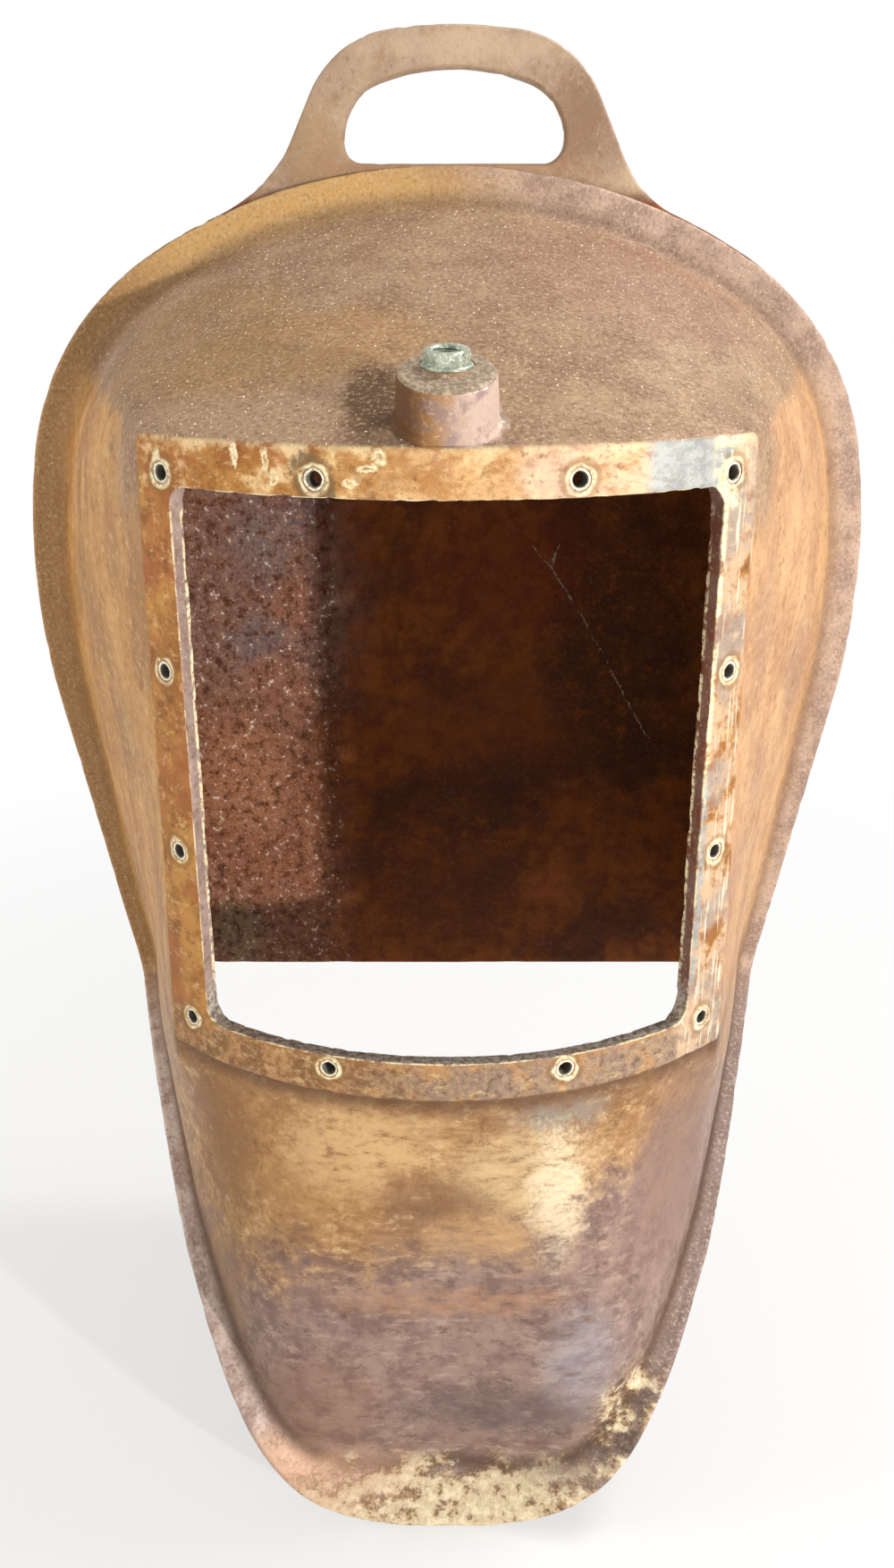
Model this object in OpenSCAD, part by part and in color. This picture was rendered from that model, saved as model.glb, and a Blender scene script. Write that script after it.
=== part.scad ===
// Shallow water diving helmet: a hollow cast front on a flat back plate with a lifting handle.
// Origin: middle of the back plate's bottom edge, on its front face. The face looks along -Y.
// The shell is a loft: at each station a profile runs from the rim, over the fillet and the
// wall, to the window's edge and back along the inside.

/* [Back plate] */
// Height of the arched top above the bottom edge
plate_h = 369; // [350:1:390]
// Thickness of the plate
plate_t = 8; // [6:0.5:12]
// Radius of the arc over the crown
crown_r = 239; // [225:1:255]
// Angle that half the crown arc turns through
crown_a = 31.6; // [29:0.1:34]
// Radius of the arcs at the temples
temple_r = 119; // [112:1:126]
// Angle that a temple arc turns through
temple_a = 47; // [45:0.1:49]
// Radius of the arcs over the cheeks
cheek_r = 295; // [270:1:320]
// Angle that a cheek arc turns through
cheek_a = 21.8; // [20:0.1:24]
// Chamfer round the plate's edges
plate_edge = 1; // [0.5:0.1:2]

/* [Handle] */
// Height of the handle's top above the arched top of the plate
handle_rise = 50; // [48:0.5:58]
// Radius of the grip's top edge
grip_top_r = 200; // [160:1:240]
// Angle that half the grip's top edge turns through
grip_top_a = 7.5; // [6:0.1:9]
// Radius of the handle's outer corners
handle_corner_r = 42; // [38:0.5:46]
// Steepness of the handle's sides
handle_side_a = 64.4; // [60:0.1:68]
// Radius of the blend from the handle into the plate
handle_blend_r = 55; // [45:1:65]
// How far the handle leans to the right, as it was cast
handle_lean = 3; // [0:0.5:5]
// Thickness of the grip, from its top edge to the opening
grip_h = 15.6; // [12:0.1:20]
// Width of the opening for the hand
grip_w = 89.4; // [80:0.2:94]
// Radius of the opening's upper corners
grip_upper_r = 22; // [16:0.5:25]
// Radius of the opening's lower corners
grip_lower_r = 8; // [6:0.5:9]

/* [Front casting] */
// Wall of the casting
wall_t = 6; // [5:0.25:8]
// Width of the flange round the head
flange_w = 15; // [13:0.5:18]
// Width of the flange and lip at the shoulders
shoulder_w = 9; // [8:0.25:11]
// How far the flange stays inside the plate's outline
flange_inset = 1; // [0.5:0.25:2]
// Reach of the fillet between flange and wall
fillet = 8; // [5:0.5:10]
// How far the walls belly out from straight
belly = 3; // [0:0.5:6]
// Heading of the rim that faces the window's upper corners
temple_split = 58; // [50:1:66]

/* [Window] */
// Distance from the plate to the middle of the window's face
face_reach = 200; // [190:1:215]
// Radius of the window's face
face_r = 150; // [140:1:165]
// Half the angle that the frame spans at its upper edge
frame_a = 41.5; // [40.5:0.25:43]
// Half the angle that the frame spans at its lower edge
frame_low_a = 44; // [42.5:0.25:45.5]
// Half the angle that the opening spans
opening_a = 36; // [34.5:0.1:36.5]
// Height of the frame's upper edge
frame_top = 282; // [276:1:288]
// Height of the frame's lower edge
frame_bottom = 55; // [50:1:60]
// Height of the opening's upper edge
opening_top = 266.3; // [262:0.1:267]
// Height of the opening's lower edge
opening_bottom = 71; // [70:0.5:78]
// Radius of the opening's corners
opening_r = 7; // [4:0.5:12]
// Radius of the frame's outer corners
frame_r = 4; // [2:0.5:6]
// How much wider the opening is at the back of the frame, as its draft
opening_draft = 1.2; // [0.4:0.1:2]
// Thickness of the frame
pad_t = 7; // [6.5:0.25:9]
// Step from the frame down to the apron
pad_step = 2.5; // [1:0.25:4]

/* [Window bushes] */
// Outside diameter of a bush
bush_d = 7; // [6.5:0.1:7.6]
// Bore of a bush
bush_bore = 4.6; // [3.5:0.1:5]
// Length of a bush
bush_l = 6; // [5:0.1:6.2]
// Angle of the side columns of bushes
bush_side_a = 39.4; // [39:0.1:39.8]
// Angle of the bushes in the frame's upper corners
bush_corner_a = 37.3; // [36.8:0.1:38.5]
// Angle of the inner bushes above the opening
bush_row_a = 15.4; // [13:0.1:19]
// Angle of the inner bushes below the opening
bush_low_a = 16.3; // [13:0.1:19]
// Distance of the inner bushes from the opening's edge
bush_inset = 5.6; // [5.2:0.1:6.6]

/* [Apron] */
// How far the toe hangs below the back plate
apron_drop = 143; // [135:1:160]
// How far the toe lies in front of the plate
apron_reach = 206.5; // [200:0.5:216]
// Half width of the rim where it comes off the shoulder
chest_x = 108.5; // [100:0.5:118]
// How far that place lies in front of the plate
chest_y = 151.5; // [144:0.5:158]
// How far that place hangs below the plate
chest_z = 51; // [45:0.5:58]
// Width of the lip at the toe
toe_w = 26; // [20:0.5:30]
// Angle at which the lip hangs at the toe
toe_a = 53; // [45:1:60]
// Bend of the rim where it leaves the plate
corner_r = 8; // [5:0.5:12]

/* [Air inlet] */
// Diameter of the boss at its top
boss_d = 30; // [28:0.5:33]
// Height of the boss above the dome
boss_h = 16; // [14:0.5:20]
// Draft on the boss's side
boss_draft = 3.5; // [0:0.5:5]
// Forward tilt of the boss
boss_tilt = 20; // [16:0.5:24]
// Tilt of the inlet bush and its bore, which stand more upright than the boss
inlet_tilt = 10; // [8:0.5:20]
// How far the inlet bush sits behind the middle of the boss's top
inlet_back = 2.5; // [0:0.25:3]
// Distance of the boss behind the window's face
boss_back = 14.5; // [14:0.5:20]
// Width across the flats of the inlet bush
hex_af = 12.5; // [11.5:0.25:15]
// Height of the hexagon
hex_h = 4.2; // [4:0.1:8]
// Diameter of the inlet bush's shank
shank_d = 10; // [9:0.25:11]
// Length of the shank below the washer
shank_l = 7; // [6:0.25:9]
// Tapped diameter for the hose connection
hose_d = 8.6; // [8:0.1:9]
// Passage through the shank
passage_d = 5; // [3.5:0.1:5.6]
// Thickness of the washer
washer_t = 1; // [0.8:0.1:2]

/* [Non-return valve] */
// Diameter of the valve's chamber
chamber_d = 16; // [15:0.25:18]
// Thickness of the seat
seat_t = 2.5; // [2:0.1:3]
// Hole through the seat
seat_hole_d = 6.4; // [5:0.1:7.5]
// Diameter of the disc
disc_d = 11; // [9.5:0.1:12]
// Thickness of the disc
disc_t = 2; // [1.5:0.1:3]
// Diameter of the stem
stem_d = 3; // [2.5:0.1:3.4]
// Travel of the disc from shut to open
valve_lift = 4; // [2:0.1:4.2]
// Thickness of the cage
cage_t = 4; // [3:0.1:5]
// Diameter of each flow hole in the cage
flow_hole_d = 3.2; // [2.4:0.1:3.4]
// Wire of the spring
wire_d = 0.8; // [0.5:0.05:0.85]
// Mean diameter of the spring
spring_d = 7.2; // [6:0.1:8]
// Turns of the spring
spring_turns = 4; // [3:1:4]

/* [Joint between the castings] */
// Thickness of the packing
gasket_t = 1; // [0.5:0.1:2]
// Width of the packing
gasket_w = 13; // [11:0.5:13.5]
// Number of screws on each side
screws_a_side = 7; // [5:1:9]
// Diameter of a screw
screw_d = 5; // [4:0.25:5.5]
// Diameter of a screw's head
screw_head_d = 9.6; // [9:0.1:11]
// Distance of the screws inside the plate's outline
screw_inset = 8; // [7.5:0.1:9]
// Depth of a tapped hole in the flange
tapped_depth = 5; // [4:0.1:5.1]

/* [Hidden] */

// Clearances: a screw in its through hole, a screw in its tapped hole, a bush or seat in its
// bore, the stem in its guide, the disc off its seat, and the spring off what it bears on
through_gap = 0.2;
thread_gap = 0.03;
seat_gap = 0.03;
guide_gap = 0.1;
shut_gap = 0.3;
spring_gap = 0.1;

// How far a cut runs past the face that it opens
over = 1;

// Vectors in the plate's plane are [x, z]. A heading is measured from +X, turning down.
function out2(h) = [sin(h), cos(h)];
function along2(h) = [cos(h), -sin(h)];
function unit(v) = v / norm(v);
function mix(a, b, t) = a + (b - a) * t;
function smooth(t) = let (u = max(0, min(1, t))) u * u * (3 - 2 * u);
function mirrored(v) = [-v[0], v[1], v[2]];
function bezier(p, t) =
    pow(1 - t, 3) * p[0] + 3 * pow(1 - t, 2) * t * p[1]
    + 3 * (1 - t) * t * t * p[2] + pow(t, 3) * p[3];

// The head's outline is a chain of tangent arcs, each [centre, radius, first and last heading],
// and a straight run from the cheek down to the plate's corner.
temple_end = crown_a + temple_a;
cheek_end = temple_end + cheek_a;
crown_c = [0, plate_h - crown_r];
temple_c = crown_c + (crown_r - temple_r) * out2(crown_a);
cheek_c = temple_c + (temple_r - cheek_r) * out2(temple_end);
head_arcs = [
    [crown_c, crown_r, 0, crown_a],
    [temple_c, temple_r, crown_a, temple_end],
    [cheek_c, cheek_r, temple_end, cheek_end]
];
function arc_point(arc, h, inset) = arc[0] + (arc[1] - inset) * out2(h);
function arc_points(arc, inset, n) =
    [for (k = [1:n]) arc_point(arc, mix(arc[2], arc[3], k / n), inset)];
function arc_length(arc) = arc[1] * (arc[3] - arc[2]) * PI / 180;
function foot(inset, z) =
    let (p = arc_point(head_arcs[2], cheek_end, inset))
    [p[0] + (p[1] - z) * cos(cheek_end) / sin(cheek_end), z];

// Lengths along the outline to the end of each arc and to the corner
crown_l = arc_length(head_arcs[0]);
temple_l = crown_l + arc_length(head_arcs[1]);
cheek_l = temple_l + arc_length(head_arcs[2]);
head_l = cheek_l + norm(foot(0, corner_r) - arc_point(head_arcs[2], cheek_end, 0));

// Heading and point at a length along the outline, from the top
function heading_at(q) =
    q < crown_l ? q / crown_r * 180 / PI
    : q < temple_l ? crown_a + (q - crown_l) / temple_r * 180 / PI
    : q < cheek_l ? temple_end + (q - temple_l) / cheek_r * 180 / PI
    : cheek_end;
function head_at(q, inset) =
    q < crown_l ? arc_point(head_arcs[0], heading_at(q), inset)
    : q < temple_l ? arc_point(head_arcs[1], heading_at(q), inset)
    : q < cheek_l ? arc_point(head_arcs[2], heading_at(q), inset)
    : arc_point(head_arcs[2], cheek_end, inset) + (q - cheek_l) * along2(cheek_end);

// A whole outline from its top point and the rest of its right half
function whole(top, half) =
    concat([top], half, [for (k = [len(half) - 1:-1:0]) [-half[k][0], half[k][1]]]);
arc_steps = 14;
function head_outline(inset, z) = whole([0, plate_h - inset], concat(
    [for (arc = head_arcs) each arc_points(arc, inset, arc_steps)],
    [foot(inset, z)]
));

// Handle: the grip's top, its corner, a straight side and a hollow blend into the crown
handle_top = plate_h + handle_rise;
grip_c = [0, handle_top - grip_top_r];
handle_corner_c = grip_c + (grip_top_r - handle_corner_r) * out2(grip_top_a);
blend_from = handle_corner_c + (handle_corner_r + handle_blend_r) * out2(handle_side_a) - crown_c;
blend_dot = blend_from * along2(handle_side_a);
blend_s = -blend_dot
    - sqrt(blend_dot * blend_dot - blend_from * blend_from + pow(crown_r + handle_blend_r, 2));
blend_c = crown_c + blend_from + blend_s * along2(handle_side_a);
blend_end = atan2(blend_c[0] - crown_c[0], blend_c[1] - crown_c[1]);
function leant(outline) =
    [for (p = outline) [p[0] + handle_lean * smooth((p[1] - plate_h + 24) / 36), p[1]]];
function plate_outline(inset) = leant(whole([0, handle_top - inset], concat(
    arc_points([grip_c, grip_top_r, 0, grip_top_a], inset, 4),
    arc_points([handle_corner_c, handle_corner_r, grip_top_a, handle_side_a], inset, 10),
    [for (k = [0:8])
        blend_c - (handle_blend_r + inset) * out2(mix(handle_side_a, blend_end, k / 8))],
    arc_points([crown_c, crown_r, blend_end, crown_a], inset, 6),
    arc_points(head_arcs[1], inset, arc_steps),
    arc_points(head_arcs[2], inset, arc_steps),
    [foot(inset, inset)]
)));

// Opening for the hand: flat below, arched above
grip_under = handle_top - grip_h;
grip_arch_a = 19.5;
grip_arch_r = grip_upper_r + (grip_w / 2 - grip_upper_r) / sin(grip_arch_a);
grip_arch_c = [0, grip_under - grip_arch_r];
grip_upper_c = grip_arch_c + (grip_arch_r - grip_upper_r) * out2(grip_arch_a);
grip_low_r = min(grip_lower_r, grip_upper_c[1] - plate_h - 0.2);
grip_lower_c = [grip_w / 2 - grip_low_r, plate_h + grip_low_r];
function grip_outline(outset) = leant(whole([0, grip_under + outset], concat(
    arc_points([grip_arch_c, grip_arch_r, 0, grip_arch_a], -outset, 5),
    arc_points([grip_upper_c, grip_upper_r, grip_arch_a, 90], -outset, 8),
    [grip_lower_c + [grip_low_r + outset, 0]],
    arc_points([grip_lower_c, grip_low_r, 90, 180], -outset, 5)
)));

// A solid through outlines of equal count at given places along Y. Its ends are strips from one
// side of the outline to the other.
module chamfered(outlines, ys) {
    n = len(outlines[0]);
    levels = len(ys);
    last = (levels - 1) * n;
    points = [for (k = [0:levels - 1]) for (p = outlines[k]) [p[0], ys[k], p[1]]];
    sides = [for (k = [0:levels - 2]) for (i = [0:n - 1])
        each [
            [k * n + i, (k + 1) * n + (i + 1) % n, k * n + (i + 1) % n],
            [k * n + i, (k + 1) * n + i, (k + 1) * n + (i + 1) % n]
        ]];
    ends = [for (i = [0:(n - 1) / 2 - 1])
        let (a = i, b = i + 1, c = n - i - 1, d = (n - i) % n)
        each concat(
            [[a, b, c], [last + a, last + c, last + b]],
            i == 0 ? [] : [[a, c, d], [last + a, last + d, last + c]]
        )];
    polyhedron(points, concat(ends, sides), convexity = 6);
}

// Screws of the joint, from the top down each side
screw_places = [for (side = [-1, 1]) for (k = [0:screws_a_side - 1])
    let (p = head_at(head_l * (k + 0.5) / screws_a_side, screw_inset))
    [side * p[0], p[1]]];
head_cone_h = (screw_head_d - screw_d) / 2;
screw_turn = 47;
module at_screws() {
    for (k = [0:len(screw_places) - 1])
        translate([screw_places[k][0], plate_t, screw_places[k][1]])
            rotate([90, 0, 0]) rotate([0, 0, k * screw_turn]) children();
}

module back_plate() {
    color("#7a5234") difference() {
        chamfered(
            [for (e = [plate_edge, 0, 0, plate_edge]) plate_outline(e)],
            [0, plate_edge, plate_t - plate_edge, plate_t]
        );
        chamfered(
            [for (e = [plate_edge + over, 0, 0, plate_edge + over]) grip_outline(e)],
            [-over, plate_edge, plate_t - plate_edge, plate_t + over]
        );
        at_screws() {
            translate([0, 0, -over])
                cylinder(h = plate_t + 2 * over, d = screw_d + 2 * through_gap, $fn = 32);
            translate([0, 0, -over])
                cylinder(
                    h = head_cone_h + over + through_gap,
                    r1 = screw_head_d / 2 + over + through_gap,
                    r2 = screw_d / 2,
                    $fn = 48
                );
        }
    }
}

module flange_gasket() {
    outer = flange_inset + 1;
    color("#3b2f26") difference() {
        rotate([90, 0, 0]) linear_extrude(gasket_t)
            difference() {
                polygon(head_outline(outer, corner_r + 2));
                polygon(head_outline(outer + gasket_w, 0));
            }
        at_screws() translate([0, 0, plate_t - over])
            cylinder(h = gasket_t + 2 * over, d = screw_d + 2 * through_gap, $fn = 32);
    }
}

// Countersunk screws with a slot, driven from the rear
screw_l = plate_t + gasket_t + tapped_depth - 0.5;
module flange_screws() {
    color("#b08a4a") at_screws() difference() {
        union() {
            cylinder(h = screw_l, d = screw_d - 2 * thread_gap, $fn = 32);
            cylinder(h = head_cone_h, d1 = screw_head_d, d2 = screw_d - 2 * thread_gap, $fn = 48);
        }
        translate([-screw_head_d, -0.6, -over]) cube([2 * screw_head_d, 1.2, over + 1.2]);
    }
}

// Rim of the apron: from the plate's corner over the shoulder, then under the chin to the toe
foot_p = foot(flange_inset, 0);
down_dir = [along2(cheek_end)[0], 0, along2(cheek_end)[1]];
fore_dir = unit([-0.25, -0.97, 0]);
flange_y = -gasket_t - wall_t;
rim_corner = [foot_p[0], flange_y, foot_p[1]];
rim_start = rim_corner + corner_r * fore_dir;
chest_p = [chest_x, -chest_y, -chest_z];
chest_dir = unit([-0.34, -0.72, -0.62]);
toe_p = [0, -apron_reach, -apron_drop];
shoulder_curve = [
    rim_start,
    rim_start + [-12.6, -48, -2],
    chest_p - 25 * chest_dir,
    chest_p
];
toe_curve = [chest_p, chest_p + 98 * chest_dir, toe_p + [60, 0, 0], toe_p];
function apron_rim(v) = v < 1 ? bezier(shoulder_curve, v) : bezier(toe_curve, v - 1);
function apron_out(v) =
    let (
        turn = 90 * pow(v / 2, 1.6),
        hang = mix(cheek_end - 90, toe_a, pow(v / 2, 1.5))
    )
    [cos(turn) * cos(hang), -sin(turn) * cos(hang), -sin(hang)];

// Stations of half the loft, from the top centre down to the toe. Those named are the middle of
// the window's upper corner, the plate's corner, the end of its bend, and the lower corner.
corner_n = 3;
top_n = 11;
upper_k = top_n + corner_n;
plate_k = upper_k + 16;
bend_k = plate_k + 4;
lower_k = bend_k + 6;
last_k = lower_k + 21;
side_n = lower_k - upper_k - 2 * corner_n;
bottom_n = last_k - lower_k - corner_n;
split_l = crown_l + temple_r * (temple_split - crown_a) * PI / 180;
lower_v = 0.33;

function head_station(q) =
    let (
        p = head_at(q, flange_inset),
        h = heading_at(q),
        low = smooth((q - cheek_l * 0.8) / (head_l - cheek_l * 0.8))
    )
    [[p[0], flange_y, p[1]], [sin(h), 0, cos(h)], mix(flange_w, shoulder_w, low)];
function bend_station(a) =
    let (centre = rim_corner + corner_r * (fore_dir - down_dir))
    [
        centre - corner_r * (cos(a) * fore_dir - sin(a) * down_dir),
        apron_out(0),
        shoulder_w
    ];
function apron_station(v) =
    [apron_rim(v), apron_out(v), mix(shoulder_w, toe_w, pow(v / 2, 3))];
// [rim point, outward direction of the flange, width of the flange]
rims = [for (k = [0:last_k])
    k <= upper_k ? head_station(split_l * k / upper_k)
    : k <= plate_k ? head_station(mix(split_l, head_l, (k - upper_k) / (plate_k - upper_k)))
    : k <= bend_k ? bend_station(90 * (k - plate_k) / (bend_k - plate_k))
    : k <= lower_k ? apron_station(lower_v * (k - bend_k) / (lower_k - bend_k))
    : apron_station(mix(lower_v, 2, (k - lower_k) / (last_k - lower_k)))];

// A loop round the window, unrolled to [arc length, height], with the same stations
function loop_point(k, w_top, w_low, top, bottom, r) =
    k <= top_n ? [mix(0, w_top - r, k / top_n), top]
    : k <= upper_k + corner_n ?
        [w_top - r, top - r] + r * out2(45 * (k - top_n) / corner_n)
    : k <= lower_k - corner_n ?
        let (t = (k - upper_k - corner_n) / side_n)
        [mix(w_top, w_low, t), mix(top - r, bottom + r, t)]
    : k <= lower_k + corner_n ?
        [w_low - r, bottom + r] + r * out2(90 + 45 * (k - lower_k + corner_n) / corner_n)
    : [mix(w_low - r, 0, (k - lower_k - corner_n) / bottom_n), bottom];
axis_y = face_r - face_reach;
function on_face(s, depth) =
    let (a = s[0] / face_r * 180 / PI)
    [(face_r - depth) * sin(a), axis_y - (face_r - depth) * cos(a), s[1]];
function inward(s) =
    let (a = s[0] / face_r * 180 / PI)
    [-sin(a), cos(a), 0];
function arc_of(a) = face_r * a * PI / 180;
frame_loop = [for (k = [0:last_k])
    loop_point(k, arc_of(frame_a), arc_of(frame_low_a), frame_top, frame_bottom, frame_r)];
function opening_point(k, draft) =
    let (w = arc_of(opening_a) + draft)
    loop_point(k, w, w, opening_top + draft, opening_bottom - draft, opening_r + draft);

// Walls: a curve from the crease of the flange up to the frame's edge. It is straight round the
// head, and leaves the frame downwards and meets the lip from above on the apron.
wall_n = 8;
edge_soft = 1.5;
function step_at(k) = pad_step * smooth((k - lower_k) / 4);
function crease(k) = rims[k][0] - rims[k][2] * rims[k][1];
function wall_curve(k) =
    let (
        foot3 = crease(k),
        head3 = on_face(frame_loop[k], step_at(k)),
        span = head3 - foot3,
        hung = smooth((k - plate_k) / (lower_k + 5 - plate_k)),
        swell = belly * (1 - hung) * rims[k][1],
        out = unit([rims[k][1][0], rims[k][1][1], 0] + [0, -0.0001, 0]),
        rise = unit([0, 0, 1] + 0.22 * out)
    )
    [
        foot3,
        foot3 + mix(span / 3 + swell, 0.36 * norm(span) * rise, hung),
        head3 + mix(-span / 3 + swell, 0.3 * norm(span) * [0, -0.06, -1], hung),
        head3
    ];
walls = [for (k = [0:last_k])
    let (c = wall_curve(k), t1 = min(fillet, 0.75 * rims[k][2]) / norm(c[3] - c[0]))
    [for (j = [0:wall_n]) bezier(c, mix(t1, 1 - edge_soft / norm(c[3] - c[0]), j / wall_n))]];
function wall_at(k, j) =
    k < 0 ? mirrored(walls[-k][j])
    : k > last_k ? mirrored(walls[2 * last_k - k][j])
    : walls[k][j];
function rim_at(k) =
    k < 0 ? mirrored(rims[-k][0])
    : k > last_k ? mirrored(rims[2 * last_k - k][0])
    : rims[k][0];
function wall_normal(k, j) =
    let (
        round = wall_at(k + 1, j) - wall_at(k - 1, j),
        up = walls[k][min(j + 1, wall_n)] - walls[k][max(j - 1, 0)]
    )
    unit(cross(round, up));
function rim_normal(k) = unit(cross(rims[k][1], rim_at(k + 1) - rim_at(k - 1)));

// One profile of the loft, outside first, from the rim to the window and back inside
rim_soft = 1.2;
fillet_n = 4;
function profile(k) =
    let (
        rim = rims[k][0],
        out = rims[k][1],
        back = rim_normal(k),
        foot3 = crease(k),
        start = walls[k][0],
        flat_end = foot3 + min(fillet, 0.6 * rims[k][2]) * out,
        up = unit(start - foot3),
        foot_in = wall_normal(k, 0),
        edge_n = wall_normal(k, wall_n),
        face_n = inward(frame_loop[k]),
        edge = on_face(frame_loop[k], 0),
        window = on_face(opening_point(k, 0), 0),
        c = edge_n * face_n,
        level = smooth((c - 0.4) / 0.4),
        cc = min(c, 0.8),
        a = (wall_t - cc * pad_t) / (1 - cc * cc) * (1 - level),
        b = mix((pad_t - cc * wall_t) / (1 - cc * cc), pad_t, level)
    )
    concat(
        [rim + rim_soft * back, rim - rim_soft * out],
        [for (j = [0:fillet_n])
            let (t = j / fillet_n)
            (1 - t) * (1 - t) * flat_end + 2 * t * (1 - t) * foot3 + t * t * start],
        [for (j = [1:wall_n]) walls[k][j]],
        [edge + edge_soft * unit(window - edge), window],
        [on_face(opening_point(k, opening_draft), pad_t)],
        [edge + a * edge_n + b * face_n],
        [for (j = [wall_n - 1:-1:1]) walls[k][j] + wall_t * wall_normal(k, j)],
        [foot3 + wall_t * (back + foot_in) / (1 + back * foot_in), rim + wall_t * back]
    );
half_profiles = [for (k = [0:last_k]) profile(k)];
profile_n = len(half_profiles[0]);
loft_n = 2 * last_k;
loft_points = [for (k = [0:loft_n - 1])
    each k <= last_k ? half_profiles[k] : [for (p = half_profiles[loft_n - k]) mirrored(p)]];
loft_faces = [for (k = [0:loft_n - 1]) for (j = [0:profile_n - 1])
    let (
        a = k * profile_n + j,
        b = k * profile_n + (j + 1) % profile_n,
        c = ((k + 1) % loft_n) * profile_n + (j + 1) % profile_n,
        d = ((k + 1) % loft_n) * profile_n + j
    )
    each k < last_k ? [[a, c, b], [a, d, c]] : [[a, d, b], [b, d, c]]];

// Boss on the dome, with its axis tilted forward. The local +Z points out of the boss.
boss_foot_y = boss_back - face_reach;
dome_curve = wall_curve(0);
dome_t = (boss_foot_y - dome_curve[0][1]) / (dome_curve[3][1] - dome_curve[0][1]);
dome_p = bezier(dome_curve, dome_t);
module at_boss() {
    translate(dome_p) rotate([boss_tilt, 0, 0]) translate([0, 0, boss_h]) children();
}
module at_inlet() {
    at_boss() translate([0, inlet_back, 0]) rotate([inlet_tilt - boss_tilt, 0, 0]) children();
}
boss_flare = 2.4;
boss_sunk = 1;
boss_soft = 1.6;
boss_base_r = boss_d / 2 + (boss_h - boss_soft) * tan(boss_draft);
boss_root = wall_t / 2;
washer_d = hex_af / cos(30) + 1.2;
spot_d = washer_d + 1;
module boss() {
    at_boss() rotate_extrude($fn = 64) polygon(concat(
        [[0, 0]],
        [for (k = [0:4])
            [boss_d / 2 - boss_soft, -boss_soft] + boss_soft * out2(22.5 * k)],
        [[boss_base_r, -boss_h], [0, -boss_h]]
    ));
    // Its raised spot, on which the washer lies
    at_inlet() translate([0, 0, -boss_soft - 1])
        cylinder(h = boss_soft + 1.5, d = spot_d, $fn = 64);
    // Its foot is blended into the dome and stays behind the window's face
    intersection() {
        at_boss() rotate_extrude($fn = 64) polygon(concat(
            [[0, boss_flare - boss_sunk - boss_h]],
            [for (k = [0:4])
                [boss_base_r + boss_flare, boss_flare - boss_sunk - boss_h]
                - boss_flare * out2(mix(90, 0, k / 4))],
            [[boss_base_r + boss_flare, -boss_h - boss_root], [0, -boss_h - boss_root]]
        ));
        translate([0, axis_y, 0]) cylinder(h = plate_h, r = face_r - 0.5, $fn = 240);
    }
}

// Places of the window's bushes as [angle, height]: two columns of four, and two between them
// above and below the opening
bush_places = [for (side = [-1, 1]) for (p = [
    [bush_row_a, opening_top + bush_inset],
    [bush_corner_a, opening_top + 0.7 * bush_inset],
    [bush_side_a, mix(opening_top, opening_bottom, 0.32)],
    [bush_side_a, mix(opening_top, opening_bottom, 0.66)],
    [bush_side_a, opening_bottom - 1.5],
    [bush_low_a, opening_bottom - bush_inset]
]) [side * p[0], p[1]]];
module at_bushes() {
    for (p = bush_places)
        translate([0, axis_y, p[1]]) rotate([0, 0, p[0]]) translate([0, -face_r, 0])
            rotate([90, 0, 0]) children();
}

module front_shell() {
    color("#94673c") difference() {
        union() {
            polyhedron(loft_points, loft_faces, convexity = 10);
            boss();
        }
        at_inlet() {
            cylinder(h = 4, d = spot_d + 0.6, $fn = 64);
            translate([0, 0, -shank_l - 0.5])
                cylinder(h = shank_l + 0.5 + over, d = shank_d + 2 * seat_gap, $fn = 48);
            translate([0, 0, -boss_h - wall_t - 3])
                cylinder(h = boss_h + wall_t + 3 - shank_l - 0.5, d = chamber_d, $fn = 48);
        }
        at_bushes() translate([0, 0, -pad_t - over])
            cylinder(h = pad_t + 2 * over, d = bush_d + 2 * seat_gap, $fn = 32);
        at_screws() translate([0, 0, plate_t + gasket_t - over])
            cylinder(h = tapped_depth + over, d = screw_d, $fn = 32);
    }
}

module window_screw_bushes() {
    color("#c9a65a") at_bushes() translate([0, 0, -bush_l - 0.2]) difference() {
        cylinder(h = bush_l, d = bush_d, $fn = 32);
        translate([0, 0, -over]) cylinder(h = bush_l + 2 * over, d = bush_bore, $fn = 32);
    }
}

// Inlet bush: a hexagon tapped for the hose over a shank with a narrower passage
hex_turn = 5;
hose_l = hex_h + washer_t - 0.3;
module air_inlet_bush() {
    color("#9aa08a") at_inlet() difference() {
        union() {
            translate([0, 0, washer_t])
                rotate([0, 0, hex_turn]) cylinder(h = hex_h, d = hex_af / cos(30), $fn = 6);
            translate([0, 0, -shank_l])
                cylinder(h = shank_l + washer_t + 0.5, d = shank_d, $fn = 48);
        }
        translate([0, 0, washer_t + hex_h - hose_l])
            cylinder(h = hose_l + over, d = hose_d, $fn = 48);
        translate([0, 0, -shank_l - over])
            cylinder(h = shank_l + hex_h + over, d = passage_d, $fn = 48);
    }
}

module air_inlet_washer() {
    color("#8d8468") at_inlet() difference() {
        cylinder(h = washer_t, d = washer_d, $fn = 48);
        translate([0, 0, -over])
            cylinder(h = washer_t + 2 * over, d = shank_d + 2 * seat_gap, $fn = 48);
    }
}

// Non-return valve, stacked below the shank's hole along the inlet's axis
seat_z = -shank_l - 0.5 - seat_t;
disc_z = seat_z - shut_gap;
cage_z = -boss_h - wall_t - 2 + cage_t;
guide_r = stem_d / 2 + guide_gap;
stem_l = disc_z - disc_t - cage_z + cage_t + 1;
module valve_seat() {
    color("#b4925a") at_inlet() translate([0, 0, seat_z]) difference() {
        cylinder(h = seat_t, d = chamber_d - 2 * seat_gap, $fn = 48);
        translate([0, 0, -over]) cylinder(h = seat_t + 2 * over, d = seat_hole_d, $fn = 48);
    }
}

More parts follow.
